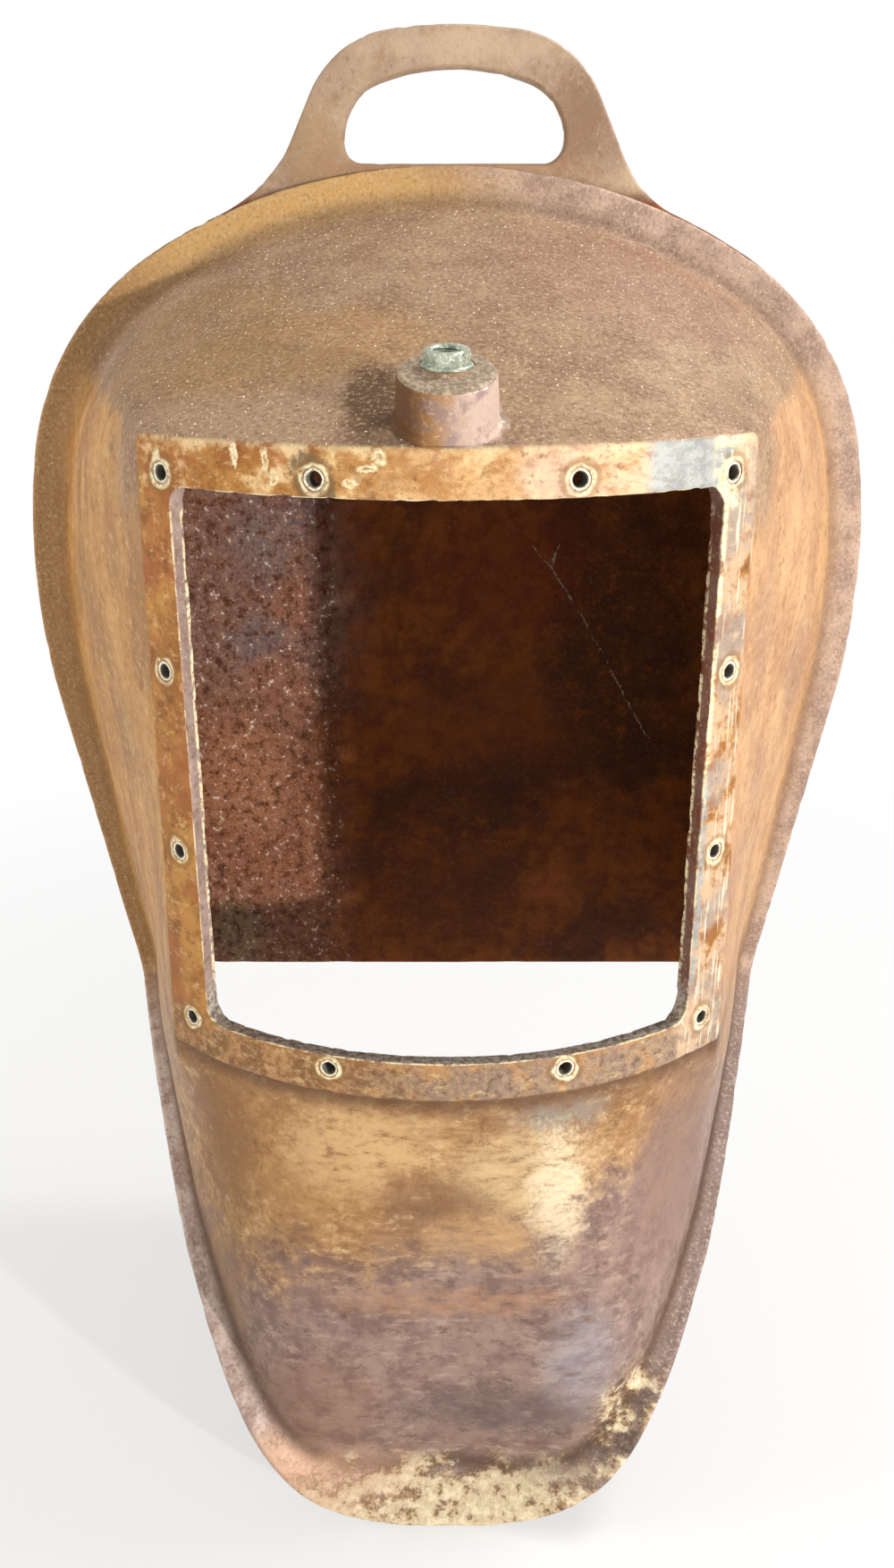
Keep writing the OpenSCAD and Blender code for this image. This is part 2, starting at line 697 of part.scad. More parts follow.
module valve_disc() {
    color("#a5793f") at_inlet() union() {
        translate([0, 0, disc_z - disc_t]) cylinder(h = disc_t, d = disc_d, $fn = 48);
        translate([0, 0, disc_z - disc_t - stem_l]) cylinder(h = stem_l, d = stem_d, $fn = 32);
    }
}

flow_ring_r = (guide_r + 1.2 + chamber_d / 2 - 1) / 2;
module valve_cage() {
    color("#b4925a") at_inlet() translate([0, 0, cage_z - cage_t]) difference() {
        cylinder(h = cage_t, d = chamber_d - 2 * seat_gap, $fn = 48);
        translate([0, 0, -over]) cylinder(h = cage_t + 2 * over, r = guide_r, $fn = 32);
        for (k = [0:5]) rotate([0, 0, 60 * k]) translate([flow_ring_r, 0, -over])
            cylinder(h = cage_t + 2 * over, d = flow_hole_d, $fn = 24);
    }
}

// Spring: a wire wound on a helix, from just under the disc to just over the cage
coil_steps = 10;
wire_sides = 6;
spring_low = cage_z + spring_gap + wire_d / 2;
spring_high = disc_z - disc_t - spring_gap - wire_d / 2;
coil_n = coil_steps * spring_turns;
function coil_at(t) = [
    spring_d / 2 * cos(360 * spring_turns * t),
    spring_d / 2 * sin(360 * spring_turns * t),
    mix(spring_low, spring_high, t)
];
coil_points = [for (k = [0:coil_n])
    let (
        a = 360 * spring_turns * k / coil_n,
        radial = [cos(a), sin(a), 0],
        climb = (spring_high - spring_low) / (PI * spring_d * spring_turns),
        upright = unit([climb * sin(a), -climb * cos(a), 1])
    )
    for (s = [0:wire_sides - 1])
        coil_at(k / coil_n)
        + wire_d / 2 * (cos(360 * s / wire_sides) * radial + sin(360 * s / wire_sides) * upright)];
coil_faces = concat(
    [[for (s = [wire_sides - 1:-1:0]) s]],
    [[for (s = [0:wire_sides - 1]) coil_n * wire_sides + s]],
    [for (k = [0:coil_n - 1]) for (s = [0:wire_sides - 1])
        let (
            a = k * wire_sides + s,
            b = k * wire_sides + (s + 1) % wire_sides
        )
        each [[a, b, b + wire_sides], [a, b + wire_sides, a + wire_sides]]]
);
echo(least_gap_between_turns = (spring_high - spring_low) / spring_turns - wire_d);
module valve_spring() {
    color("#8f8f86") at_inlet() polyhedron(coil_points, coil_faces, convexity = 8);
}

front_shell();
back_plate();
flange_gasket();
flange_screws();
window_screw_bushes();
air_inlet_bush();
air_inlet_washer();
valve_seat();
valve_disc();
valve_spring();
valve_cage();
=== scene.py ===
# %% [markdown]
# # A shallow water diving helmet
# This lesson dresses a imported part, a cast bronze helmet for shallow dives, and lights it as a
# studio photograph would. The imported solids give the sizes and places. Plain materials and
# facets are what a drawing office needs, so the castings are made again here with finer
# surfaces, and everything gets its patina.

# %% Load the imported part
import math

import bmesh
import bpy
import numpy as np
from mathutils import Matrix, Vector, geometry, noise


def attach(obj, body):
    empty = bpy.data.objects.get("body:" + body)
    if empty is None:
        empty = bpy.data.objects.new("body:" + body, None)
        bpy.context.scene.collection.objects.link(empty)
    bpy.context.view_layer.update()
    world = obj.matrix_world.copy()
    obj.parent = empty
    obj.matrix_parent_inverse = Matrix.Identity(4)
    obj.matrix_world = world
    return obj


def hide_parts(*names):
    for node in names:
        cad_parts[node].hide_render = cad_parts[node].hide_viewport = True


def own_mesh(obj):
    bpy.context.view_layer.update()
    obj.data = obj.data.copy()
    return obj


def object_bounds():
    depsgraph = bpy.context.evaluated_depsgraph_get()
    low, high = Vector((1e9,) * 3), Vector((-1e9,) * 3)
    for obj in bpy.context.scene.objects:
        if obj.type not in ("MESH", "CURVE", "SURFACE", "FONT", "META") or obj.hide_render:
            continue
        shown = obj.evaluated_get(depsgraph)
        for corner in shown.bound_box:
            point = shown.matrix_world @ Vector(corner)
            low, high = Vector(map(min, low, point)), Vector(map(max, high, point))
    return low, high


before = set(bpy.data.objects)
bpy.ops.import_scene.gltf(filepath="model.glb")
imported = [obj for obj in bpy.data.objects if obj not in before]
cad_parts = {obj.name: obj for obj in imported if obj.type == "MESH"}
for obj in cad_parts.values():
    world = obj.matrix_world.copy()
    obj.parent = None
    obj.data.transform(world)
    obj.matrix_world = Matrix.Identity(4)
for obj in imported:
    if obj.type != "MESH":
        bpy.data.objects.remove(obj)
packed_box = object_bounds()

MM = 0.001
print("packed box, mm:", [[round(c / MM, 1) for c in corner] for corner in packed_box])

# %% [markdown]
# ## Small tools
# The drawings of a casting are arcs, blends and offsets, so a few short functions on points
# say the shape as a pattern maker would. Lengths are in millimetres until a mesh is made.


# %% Geometry on points
def out2(heading):
    """The direction across an outline whose heading turns down from +X, as [x, z]."""
    a = math.radians(heading)
    return np.array([math.sin(a), math.cos(a)])


def along2(heading):
    """The direction along such an outline."""
    a = math.radians(heading)
    return np.array([math.cos(a), -math.sin(a)])


def unit(v):
    return v / np.linalg.norm(v, axis=-1, keepdims=True)


def mix(a, b, t):
    return a + (b - a) * t


def smooth(t):
    u = np.clip(t, 0.0, 1.0)
    return u * u * (3 - 2 * u)


def bezier2(p, t):
    return (1 - t) ** 2 * p[0] + 2 * t * (1 - t) * p[1] + t**2 * p[2]


def bezier3(p, t):
    s = 1 - t
    return s**3 * p[0] + 3 * s * s * t * p[1] + 3 * s * t * t * p[2] + t**3 * p[3]


def ripple(points, size, seed, detail=1):
    """Smooth noise between about -1 and 1 at points in mm, with waves of that size."""
    shift = Vector((seed * 17.3, seed * 5.1, seed * 9.7))
    total = np.zeros(len(points))
    for octave in range(detail):
        scale = 2.0**octave / size
        total += [noise.noise(Vector(p) * scale + shift) / 1.7**octave for p in points]
    return total


print("outside of an outline at its top:", out2(0), "and at its right:", out2(90).round(3))


# %% Meshes from points
def new_object(name, points, faces, sharp=32):
    """A smooth shaded object from points in mm, with its normals turned outwards."""
    mesh = bpy.data.meshes.new(name)
    mesh.from_pydata((np.asarray(points) * MM).tolist(), [], faces)
    form = bmesh.new()
    form.from_mesh(mesh)
    bmesh.ops.remove_doubles(form, verts=form.verts, dist=1e-6)
    bmesh.ops.recalc_face_normals(form, faces=form.faces)
    form.to_mesh(mesh)
    form.free()
    mesh.shade_smooth()
    mesh.set_sharp_from_angle(angle=math.radians(sharp))
    made = bpy.data.objects.new(name, mesh)
    bpy.context.scene.collection.objects.link(made)
    return made


def evaluated_copy(source):
    """A plain mesh of what the source's modifiers make."""
    graph = bpy.context.evaluated_depsgraph_get()
    return bpy.data.meshes.new_from_object(source.evaluated_get(graph))


def combine(target, tool, operation):
    """Joins, cuts or crosses the target with the tool, which is used up."""
    step = target.modifiers.new("combine", "BOOLEAN")
    step.operation = operation
    step.solver = "MANIFOLD"
    step.object = tool
    result = evaluated_copy(target)
    target.modifiers.remove(step)
    target.data = result
    bpy.data.objects.remove(tool)


def ring_faces(rows, count, closed):
    """Quads between rows of points that each go once round."""
    last = rows if closed else rows - 1
    return [
        (
            a * count + b,
            a * count + (b + 1) % count,
            ((a + 1) % rows) * count + (b + 1) % count,
            ((a + 1) % rows) * count + b,
        )
        for a in range(last)
        for b in range(count)
    ]


def turned(name, profile, count, closed=False, radius_at=None):
    """A turned piece about Z from [radius, height] pairs. An open profile starts and ends on
    the axis. radius_at(radii, heights, angles) may bend the circles."""
    profile = np.array(profile, float)
    angles = np.linspace(0, 2 * math.pi, count, endpoint=False)
    radii = np.repeat(profile[:, :1], count, 1)
    heights = np.repeat(profile[:, 1:], count, 1)
    if radius_at:
        radii = radius_at(radii, heights, angles)
    points = np.stack([radii * np.cos(angles), radii * np.sin(angles), heights], -1)
    faces = ring_faces(len(profile), count, closed)
    return new_object(name, points.reshape(-1, 3), faces)


print("meshes can be made from rows of points")

# %% [markdown]
# ## The castings' drawing
# The head of the helmet is a pear shape of tangent arcs. The flange, the back plate and the
# packing between them all follow it, so it is drawn once, as a run of arcs that can be read at
# any length along it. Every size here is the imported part's own. H, T, W, D, R and L are
# heights, thicknesses, widths, diameters, radii and lengths in mm; A is an angle in degrees.

# %% Sizes of the castings in mm
PLATE_H, PLATE_T = 369.0, 8.0
CROWN_R, CROWN_A = 239.0, 31.6
TEMPLE_R, TEMPLE_A = 119.0, 47.0
CHEEK_R, CHEEK_A = 295.0, 21.8
HANDLE_RISE, HANDLE_LEAN = 50.0, 3.0
GRIP_TOP_R, GRIP_TOP_A, GRIP_H, GRIP_W = 200.0, 7.5, 15.6, 89.4
HANDLE_CORNER_R, HANDLE_SIDE_A, HANDLE_BLEND_R = 42.0, 64.4, 55.0
GRIP_UPPER_R, GRIP_LOWER_R, GRIP_ARCH_A = 22.0, 8.0, 19.5
WALL_T, FLANGE_W, SHOULDER_W, FLANGE_INSET = 6.0, 15.0, 9.0, 1.0
FILLET, BELLY, TEMPLE_SPLIT, GASKET_T = 8.0, 3.0, 58.0, 1.0
FACE_REACH, FACE_R, FRAME_A, FRAME_LOW_A = 200.0, 150.0, 41.5, 44.0
OPENING_A, FRAME_TOP, FRAME_BOTTOM = 36.0, 282.0, 55.0
OPENING_TOP, OPENING_BOTTOM, OPENING_R, FRAME_R = 266.3, 71.0, 7.0, 4.0
OPENING_DRAFT, PAD_T, PAD_STEP = 1.2, 7.0, 2.5
APRON_DROP, APRON_REACH, TOE_W, TOE_A, CORNER_R = 143.0, 206.5, 26.0, 53.0, 8.0
CHEST = np.array([108.5, -151.5, -51.0])
SCREW_INSET, SCREWS_A_SIDE = 8.0, 7
print("plate:", PLATE_H, "mm high and", PLATE_T, "mm thick")

# %% What the curves of the apron's rim and of its walls are pulled by
FORE_PULL, CHEST_PULL = np.array([-0.25, -0.97, 0]), np.array([-0.34, -0.72, -0.62])
SHOULDER_HANDLE, TOE_HANDLE = np.array([-12.6, -48, -2]), np.array([60, 0, 0])
CHEST_HANDLES = (25, 98)
TURN_POWER, HANG_POWER, WIDTH_POWER = 1.6, 1.5, 3
NARROWING_FROM = 0.8
RISE_LEAN, RISE_HANDLE, FALL_HANDLE = 0.22, 0.36, 0.3
FALL_PULL = np.array([0, -0.06, -1])
print("the apron hangs", APRON_DROP, "mm below the plate")

# %% Outline of the head
temple_end = CROWN_A + TEMPLE_A
cheek_end = temple_end + CHEEK_A
crown_c = np.array([0, PLATE_H - CROWN_R])
temple_c = crown_c + (CROWN_R - TEMPLE_R) * out2(CROWN_A)
cheek_c = temple_c + (TEMPLE_R - CHEEK_R) * out2(temple_end)
HEAD_ARCS = [
    (crown_c, CROWN_R, 0, CROWN_A),
    (temple_c, TEMPLE_R, CROWN_A, temple_end),
    (cheek_c, CHEEK_R, temple_end, cheek_end),
]


def arc_point(arc, heading, inset):
    return arc[0] + (arc[1] - inset) * out2(heading)


def arc_points(arc, inset, steps):
    return [
        arc_point(arc, mix(arc[2], arc[3], k / steps), inset)
        for k in range(1, steps + 1)
    ]


def foot(inset, z):
    """Where the straight run below the cheek reaches that height."""
    p = arc_point(HEAD_ARCS[2], cheek_end, inset)
    slope = math.tan(math.radians(cheek_end))
    return np.array([p[0] + (p[1] - z) / slope, z])


arc_ends = np.cumsum([r * math.radians(b - a) for c, r, a, b in HEAD_ARCS])
head_l = arc_ends[2] + np.linalg.norm(
    foot(0, CORNER_R) - arc_point(HEAD_ARCS[2], cheek_end, 0)
)


def head_at(length, inset):
    """Point and heading at a length along the outline, from the top."""
    start = 0.0
    for arc, end in zip(HEAD_ARCS, arc_ends):
        if length <= end:
            heading = arc[2] + math.degrees((length - start) / arc[1])
            return arc_point(arc, heading, inset), heading
        start = end
    p = arc_point(HEAD_ARCS[2], cheek_end, inset)
    return p + (length - start) * along2(cheek_end), cheek_end


print("half of the head's outline:", round(head_l, 1), "mm")

# %% [markdown]
# ## Rim, window and walls of the front casting
# The front is one bronze casting: a flat flange, a fillet, a thin drafted wall and a window
# frame that is part of a cylinder, with an apron that hangs over the chest. It could be
# sculpted, but it follows a rule: at each station round the rim a section runs from the lip to
# the window and back along the inside. So it is lofted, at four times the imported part's
# stations. K counts stations down from the top, N counts steps, and V runs along the apron.

# %% Stations round the rim
CORNER_N, TOP_N = 3, 11
UPPER_K = TOP_N + CORNER_N
PLATE_K = UPPER_K + 16
BEND_K = PLATE_K + 4
LOWER_K = BEND_K + 6
LAST_K = LOWER_K + 21
FINER = 4
LOWER_V = 0.33
MIRROR = np.array([-1.0, 1.0, 1.0])
split_l = arc_ends[0] + TEMPLE_R * math.radians(TEMPLE_SPLIT - CROWN_A)

foot_p = foot(FLANGE_INSET, 0)
flange_y = -GASKET_T - WALL_T
down_dir = np.array([along2(cheek_end)[0], 0, along2(cheek_end)[1]])
fore_dir = unit(FORE_PULL)
rim_corner = np.array([foot_p[0], flange_y, foot_p[1]])
rim_start = rim_corner + CORNER_R * fore_dir
chest_dir = unit(CHEST_PULL)
toe = np.array([0, -APRON_REACH, -APRON_DROP])
before_chest = CHEST - CHEST_HANDLES[0] * chest_dir
after_chest = CHEST + CHEST_HANDLES[1] * chest_dir
shoulder_curve = [rim_start, rim_start + SHOULDER_HANDLE, before_chest, CHEST]
toe_curve = [CHEST, after_chest, toe + TOE_HANDLE, toe]


def apron_out(v):
    """Outwards from the apron's rim, from v = 0 at the shoulder to 2 at the toe."""
    turn = math.radians(90 * (v / 2) ** TURN_POWER)
    hang = math.radians(mix(cheek_end - 90, TOE_A, (v / 2) ** HANG_POWER))
    return np.array(
        [
            math.cos(turn) * math.cos(hang),
            -math.sin(turn) * math.cos(hang),
            -math.sin(hang),
        ]
    )


def apron_station(v):
    p = bezier3(shoulder_curve, v) if v < 1 else bezier3(toe_curve, v - 1)
    return p, apron_out(v), mix(SHOULDER_W, TOE_W, (v / 2) ** WIDTH_POWER)


def head_station(length):
    p, heading = head_at(length, FLANGE_INSET)
    a = math.radians(heading)
    narrowing = arc_ends[2] * NARROWING_FROM
    low = smooth((length - narrowing) / (head_l - narrowing))
    return (
        np.array([p[0], flange_y, p[1]]),
        np.array([math.sin(a), 0, math.cos(a)]),
        mix(FLANGE_W, SHOULDER_W, low),
    )


def station(k):
    """Rim point, outward direction of the flange and its width."""
    if k <= UPPER_K:
        return head_station(split_l * k / UPPER_K)
    if k <= PLATE_K:
        return head_station(mix(split_l, head_l, (k - UPPER_K) / (PLATE_K - UPPER_K)))
    if k <= BEND_K:
        a = math.radians(90 * (k - PLATE_K) / (BEND_K - PLATE_K))
        centre = rim_corner + CORNER_R * (fore_dir - down_dir)
        swing = math.cos(a) * fore_dir - math.sin(a) * down_dir
        return centre - CORNER_R * swing, apron_out(0), SHOULDER_W
    if k <= LOWER_K:
        return apron_station(LOWER_V * (k - BEND_K) / (LOWER_K - BEND_K))
    return apron_station(mix(LOWER_V, 2, (k - LOWER_K) / (LAST_K - LOWER_K)))


print("half of the rim has", LAST_K, "stations; the toe is at", station(LAST_K)[0].round(1))


# %% Loops round the window
def loop_point(k, w_top, w_low, top, bottom, r):
    """A loop round the window, unrolled to [arc length, height]."""
    if k <= TOP_N:
        return np.array([(w_top - r) * k / TOP_N, top])
    if k <= UPPER_K + CORNER_N:
        return np.array([w_top - r, top - r]) + r * out2(45 * (k - TOP_N) / CORNER_N)
    if k <= LOWER_K - CORNER_N:
        t = (k - UPPER_K - CORNER_N) / (LOWER_K - UPPER_K - 2 * CORNER_N)
        return np.array([mix(w_top, w_low, t), mix(top - r, bottom + r, t)])
    if k <= LOWER_K + CORNER_N:
        turn = 90 + 45 * (k - LOWER_K + CORNER_N) / CORNER_N
        return np.array([w_low - r, bottom + r]) + r * out2(turn)
    t = (k - LOWER_K - CORNER_N) / (LAST_K - LOWER_K - CORNER_N)
    return np.array([mix(w_low - r, 0, t), bottom])


def arc_of(angle):
    return FACE_R * math.radians(angle)


def on_face(s, depth):
    """Places on the window's cylinder, that far behind its face."""
    a = s[..., 0] / FACE_R
    r = FACE_R - depth
    return np.stack(
        [r * np.sin(a), FACE_R - FACE_REACH - r * np.cos(a), s[..., 1]], -1
    )


def whole_loop(half):
    """The loop from its right half: points get a mirror image, numbers are repeated."""
    back = half[-2:0:-1]
    return np.concatenate([half, back * MIRROR if half.ndim == 2 else back])


half_ks = np.arange(LAST_K * FINER + 1) / FINER
ks = whole_loop(half_ks)
stations = [station(k) for k in half_ks]
rim = whole_loop(np.array([s[0] for s in stations]))
out = whole_loop(np.array([s[1] for s in stations]))
width = whole_loop(np.array([s[2] for s in stations]))


def window_loop(half_angle, low_angle, top, bottom, r, draft=0.0):
    loop = [
        loop_point(
            k,
            arc_of(half_angle) + draft,
            arc_of(low_angle) + draft,
            top + draft,
            bottom - draft,
            r + draft,
        )
        for k in half_ks
    ]
    loop = np.array(loop)
    return np.concatenate([loop, loop[-2:0:-1] * [-1, 1]])


frame_loop = window_loop(FRAME_A, FRAME_LOW_A, FRAME_TOP, FRAME_BOTTOM, FRAME_R)
opening_loop = window_loop(
    OPENING_A, OPENING_A, OPENING_TOP, OPENING_BOTTOM, OPENING_R
)
rear_loop = window_loop(
    OPENING_A, OPENING_A, OPENING_TOP, OPENING_BOTTOM, OPENING_R, OPENING_DRAFT
)
print("stations:", len(ks))

# %% Wall surface and its inside
WALL_N = 30
EDGE_SOFT = 1.5

crease = rim - width[:, None] * out
step = PAD_STEP * smooth((ks - LOWER_K) / 4)
wall_top = on_face(frame_loop, step)
span = wall_top - crease
reach = np.linalg.norm(span, axis=1)[:, None]
hung = smooth((ks - PLATE_K) / (LOWER_K + 5 - PLATE_K))[:, None]
swell = BELLY * (1 - hung) * out
level_out = unit(out * [1, 1, 0] + [0, -0.0001, 0])
rise = unit(np.array([0, 0, 1]) + RISE_LEAN * level_out)
wall_curve = [
    crease,
    crease + mix(span / 3 + swell, RISE_HANDLE * reach * rise, hung),
    wall_top + mix(-span / 3 + swell, FALL_HANDLE * reach * FALL_PULL, hung),
    wall_top,
]
first_t = np.minimum(FILLET, 0.75 * width)[:, None] / reach
last_t = 1 - EDGE_SOFT / reach
wall = [bezier3(wall_curve, mix(first_t, last_t, j / WALL_N)) for j in range(WALL_N + 1)]
wall = np.array(wall)


def across(a):
    """Difference between the neighbours round the loop."""
    return np.roll(a, -1, -2) - np.roll(a, 1, -2)


climb = np.gradient(wall, axis=0)
wall_in = unit(np.cross(across(wall), climb))
rim_back = unit(np.cross(out, across(rim)))
face_angle = frame_loop[:, 0] / FACE_R
face_in = np.stack([-np.sin(face_angle), np.cos(face_angle), 0 * face_angle], -1)
print("wall from", round(reach.min(), 1), "to", round(reach.max(), 1), "mm long")

# %% [markdown]
# Each section is a list of rows. A row goes once round the helmet, and it also says what it is
# part of, because the patina changes there: the flange, the groove beside the wall, which gets
# painted shade, the frame, the window's edge and the inside. Those shares become attributes of
# the mesh, which a material can read wherever the surface goes. Rows lie closer where the
# surface turns, so that the edges in sight are soft.

# %% Rows of the rim, the flange and the wall
RIM_SOFT = 1.6
ZONES = ("flange", "groove", "frame", "jamb", "inside")
rows, row_zones, row_wear, row_move = [], [], [], []


def add_row(points, wear=0.0, move=1.0, **zones):
    """A row with its share of each zone, its wear and how far casting may move it."""
    rows.append(points)
    row_zones.append([zones.get(name, 0.0) for name in ZONES])
    row_wear.append(wear)
    row_move.append(move)


def between(a, b, count, **zones):
    """Rows strictly between two rows."""
    for k in range(1, count + 1):
        add_row(mix(a, b, k / (count + 1)), **zones)


flat_start = rim - RIM_SOFT * out
flat_end = crease + np.minimum(FILLET, 0.6 * width)[:, None] * out
rim_centre = rim + RIM_SOFT * (rim_back - out)
for k in range(5):
    a = math.radians(22.5 * k)
    swing = math.cos(a) * out - math.sin(a) * rim_back
    add_row(rim_centre + RIM_SOFT * swing, flange=1, wear=0.6)
between(flat_start, flat_end, 3, flange=1)
for k in range(9):
    t = k / 8
    add_row(
        bezier2([flat_end, crease, wall[0]], t), flange=1 - t, groove=math.sin(math.pi * t)
    )
for j in range(1, WALL_N + 1):
    add_row(wall[j], groove=0.5 * math.exp(-j / 2))
print("rows up to the frame:", len(rows))

# %% Rows of the frame and of the window's edge
FRAME_ROWS, FRAME_FROM, FRAME_TO = 8, 0.12, 0.94
edge = on_face(frame_loop, 0)
window = on_face(opening_loop, 0)
edge_in = edge + EDGE_SOFT * unit(window - edge)
for k in range(1, 7):
    p = bezier3([wall[WALL_N], wall_top, edge, edge_in], k / 6)
    add_row(p, frame=k / 6, wear=0.8)
for k in range(1, FRAME_ROWS):
    across_frame = FRAME_FROM + (FRAME_TO - FRAME_FROM) * k / FRAME_ROWS
    add_row(on_face(mix(frame_loop, opening_loop, across_frame), 0), frame=1)
window_near = on_face(mix(opening_loop, frame_loop, 0.035), 0)
rear = on_face(rear_loop, PAD_T)
window_in = mix(window, rear, 0.1)
for k in range(4):
    p = bezier2([window_near, window, window_in], k / 3)
    add_row(p, frame=1 - k / 3, jamb=k / 3, wear=1.0)
between(window_in, rear, 4, jamb=1)
print("rows up to the inside:", len(rows))

# %% [markdown]
# Inside, the back of the wall and the back of the frame meet in a mitre. Its place follows from
# the cosine of the angle between them. Where they are nearly in line the mitre would run away,
# and the frame's thickness alone is kept.

# %% Rows of the inside
LEVEL_FROM, LEVEL_TO, EDGE_SHARE = 0.4, 0.8, 0.06
cosine = np.sum(wall_in[WALL_N] * face_in, axis=1)[:, None]
level = smooth((cosine - LEVEL_FROM) / (LEVEL_TO - LEVEL_FROM))
cosine = np.minimum(cosine, LEVEL_TO)
along_wall_in = (WALL_T - cosine * PAD_T) / (1 - cosine**2) * (1 - level)
along_face_in = mix((PAD_T - cosine * WALL_T) / (1 - cosine**2), PAD_T, level)
pad_rear = edge + along_wall_in * wall_in[WALL_N] + along_face_in * face_in
past_edge = mix(rear, pad_rear, EDGE_SHARE)
add_row(mix(rear, window_in, 0.08), jamb=1, wear=1.0)
add_row(past_edge, jamb=0.5, inside=0.5, wear=0.6)
between(past_edge, pad_rear, 4, inside=1)
inner_first = len(rows)
add_row(pad_rear, inside=1)
for j in range(WALL_N - 1, 0, -1):
    add_row(wall[j] + WALL_T * wall_in[j], inside=1)
fold = 1 + np.sum(rim_back * wall_in[0], axis=1)[:, None]
mitre = crease + WALL_T * (rim_back + wall_in[0]) / fold
add_row(mitre, inside=1, move=0)
inner_last = len(rows)
rear_edge = rim + WALL_T * rim_back
REAR_SOFT = 0.8
between(mitre, rear_edge - REAR_SOFT * out, 3, inside=1, move=0)
add_row(rear_edge - REAR_SOFT * out, inside=1, flange=0.5, move=0)
add_row(rear_edge - REAR_SOFT * rim_back, flange=1, move=0.3)
print("rows in a section:", len(rows))

# %% [markdown]
# ## The look of sand casting
# A real casting isn't true: its skin swells and sinks by a few tenths of a millimetre, and a
# century of knocks has nibbled its edges. Bump in a material can't change an outline, so this
# is done in the mesh: each point moves along its normal by smooth noise, and edges are worn
# inwards. Each swell is an amount in mm, the size of its waves and a seed.

# %% Skin and wear of the front casting
SWELLS = ((0.3, 52, 1), (0.14, 17, 2), (0.05, 5, 3))
LIP_SWELL, NIBBLE_SIZE, NIBBLE_DEPTH, SMOOTHINGS = (0.22, 7, 4), 4.5, 1.1, 8
grid = np.array(rows)
inner = slice(inner_first, inner_last - 1)
for _ in range(SMOOTHINGS):
    grid[inner] = (
        0.5 * grid[inner]
        + 0.25 * np.roll(grid[inner], 1, 1)
        + 0.25 * np.roll(grid[inner], -1, 1)
    )
row_count, loop_count = grid.shape[:2]
around = np.roll(grid, -1, 1) - np.roll(grid, 1, 1)
along = np.roll(grid, -1, 0) - np.roll(grid, 1, 0)
skin = unit(np.cross(along, around)).reshape(-1, 3)
flat = grid.reshape(-1, 3)
centre = np.array([0, -90, 150])  # somewhere inside, to tell which way is out
if np.sum(skin[:loop_count] * (flat[:loop_count] - centre)) < 0:
    skin = -skin
is_apron = smooth((ks - PLATE_K) / (LOWER_K - PLATE_K))
apron = np.tile(is_apron, row_count)
wear = np.repeat(row_wear, loop_count)
move = np.repeat(row_move, loop_count)
move = np.maximum(move, 0.5 * (apron > 0.9))
swell_mm = sum(amount * ripple(flat, size, seed) for amount, size, seed in SWELLS)
lip = apron * np.repeat([z[0] for z in row_zones], loop_count)
swell_mm += LIP_SWELL[0] * lip * ripple(flat, *LIP_SWELL[1:])
nibble = np.clip(ripple(flat, NIBBLE_SIZE, 5, 2) - 0.05, 0, 1) ** 1.3
flat = flat + skin * ((move * swell_mm) - NIBBLE_DEPTH * wear * nibble)[:, None]
front = new_object("cast_front", flat, ring_faces(row_count, loop_count, True), 40)
print("front casting:", len(front.data.polygons), "faces")

# %% Attributes that say what each place is part of
dome_share = 1 - smooth((ks - (UPPER_K - 1.5)) / 3)


def set_attribute(target, name, values):
    layer = target.data.attributes.new(name, "FLOAT", "POINT")
    layer.data.foreach_set("value", np.asarray(values, np.float32))


if len(front.data.vertices) != len(flat):
    raise SystemExit("the loft has doubled points")
for index, zone in enumerate(ZONES):
    set_attribute(
        front, zone, np.repeat([z[index] for z in row_zones], loop_count)
    )
set_attribute(front, "apron", apron)
set_attribute(front, "dome", np.tile(dome_share, row_count))
print("attributes:", ZONES + ("apron", "dome"))

# %% [markdown]
# ## Boss, bores and tapped holes
# The air inlet's boss is cast on the dome, and the fittings sit in machined bores. Sweeping
# them into the loft would be hard, so they are turned as solids of their own and joined or cut
# with booleans, as a machinist would do it.

# %% Sizes of the boss, the inlet and the valve in mm
BOSS_D, BOSS_H, BOSS_DRAFT, BOSS_TILT, BOSS_BACK = 30.0, 16.0, 3.5, 20.0, 14.5
INLET_TILT, INLET_BACK = 10.0, 2.5
HEX_AF, HEX_H, HEX_TURN, SHANK_D, SHANK_L = 12.5, 4.2, 5.0, 10.0, 7.0
HOSE_D, PASSAGE_D, WASHER_T = 8.6, 5.0, 1.0
CHAMBER_D, SEAT_T, SEAT_HOLE_D = 16.0, 2.5, 6.4
DISC_D, DISC_T, STEM_D, VALVE_LIFT, CAGE_T = 11.0, 2.0, 3.0, 4.0, 4.0
FLOW_HOLE_D, WIRE_D, SPRING_D, SPRING_TURNS = 3.2, 0.8, 7.2, 4
BUSH_D, BUSH_BORE, BUSH_L, BUSH_INSET = 7.0, 4.6, 6.0, 5.6
BUSH_SIDE_A, BUSH_CORNER_A, BUSH_ROW_A, BUSH_LOW_A = 39.4, 37.3, 15.4, 16.3
SEAT_GAP, GUIDE_GAP, SHUT_GAP, SPRING_GAP = 0.03, 0.1, 0.3, 0.1
SCREW_D, SCREW_HEAD_D, SCREW_TURN, TAPPED_DEPTH = 5.0, 9.6, 47.0, 5.0
HEX_CORNER = HEX_AF / 2 / math.cos(math.radians(30))
CHAMBER_TOP = -SHANK_L - 0.5
head_cone = (SCREW_HEAD_D - SCREW_D) / 2
print("hexagon:", round(2 * HEX_CORNER, 2), "mm across its corners")

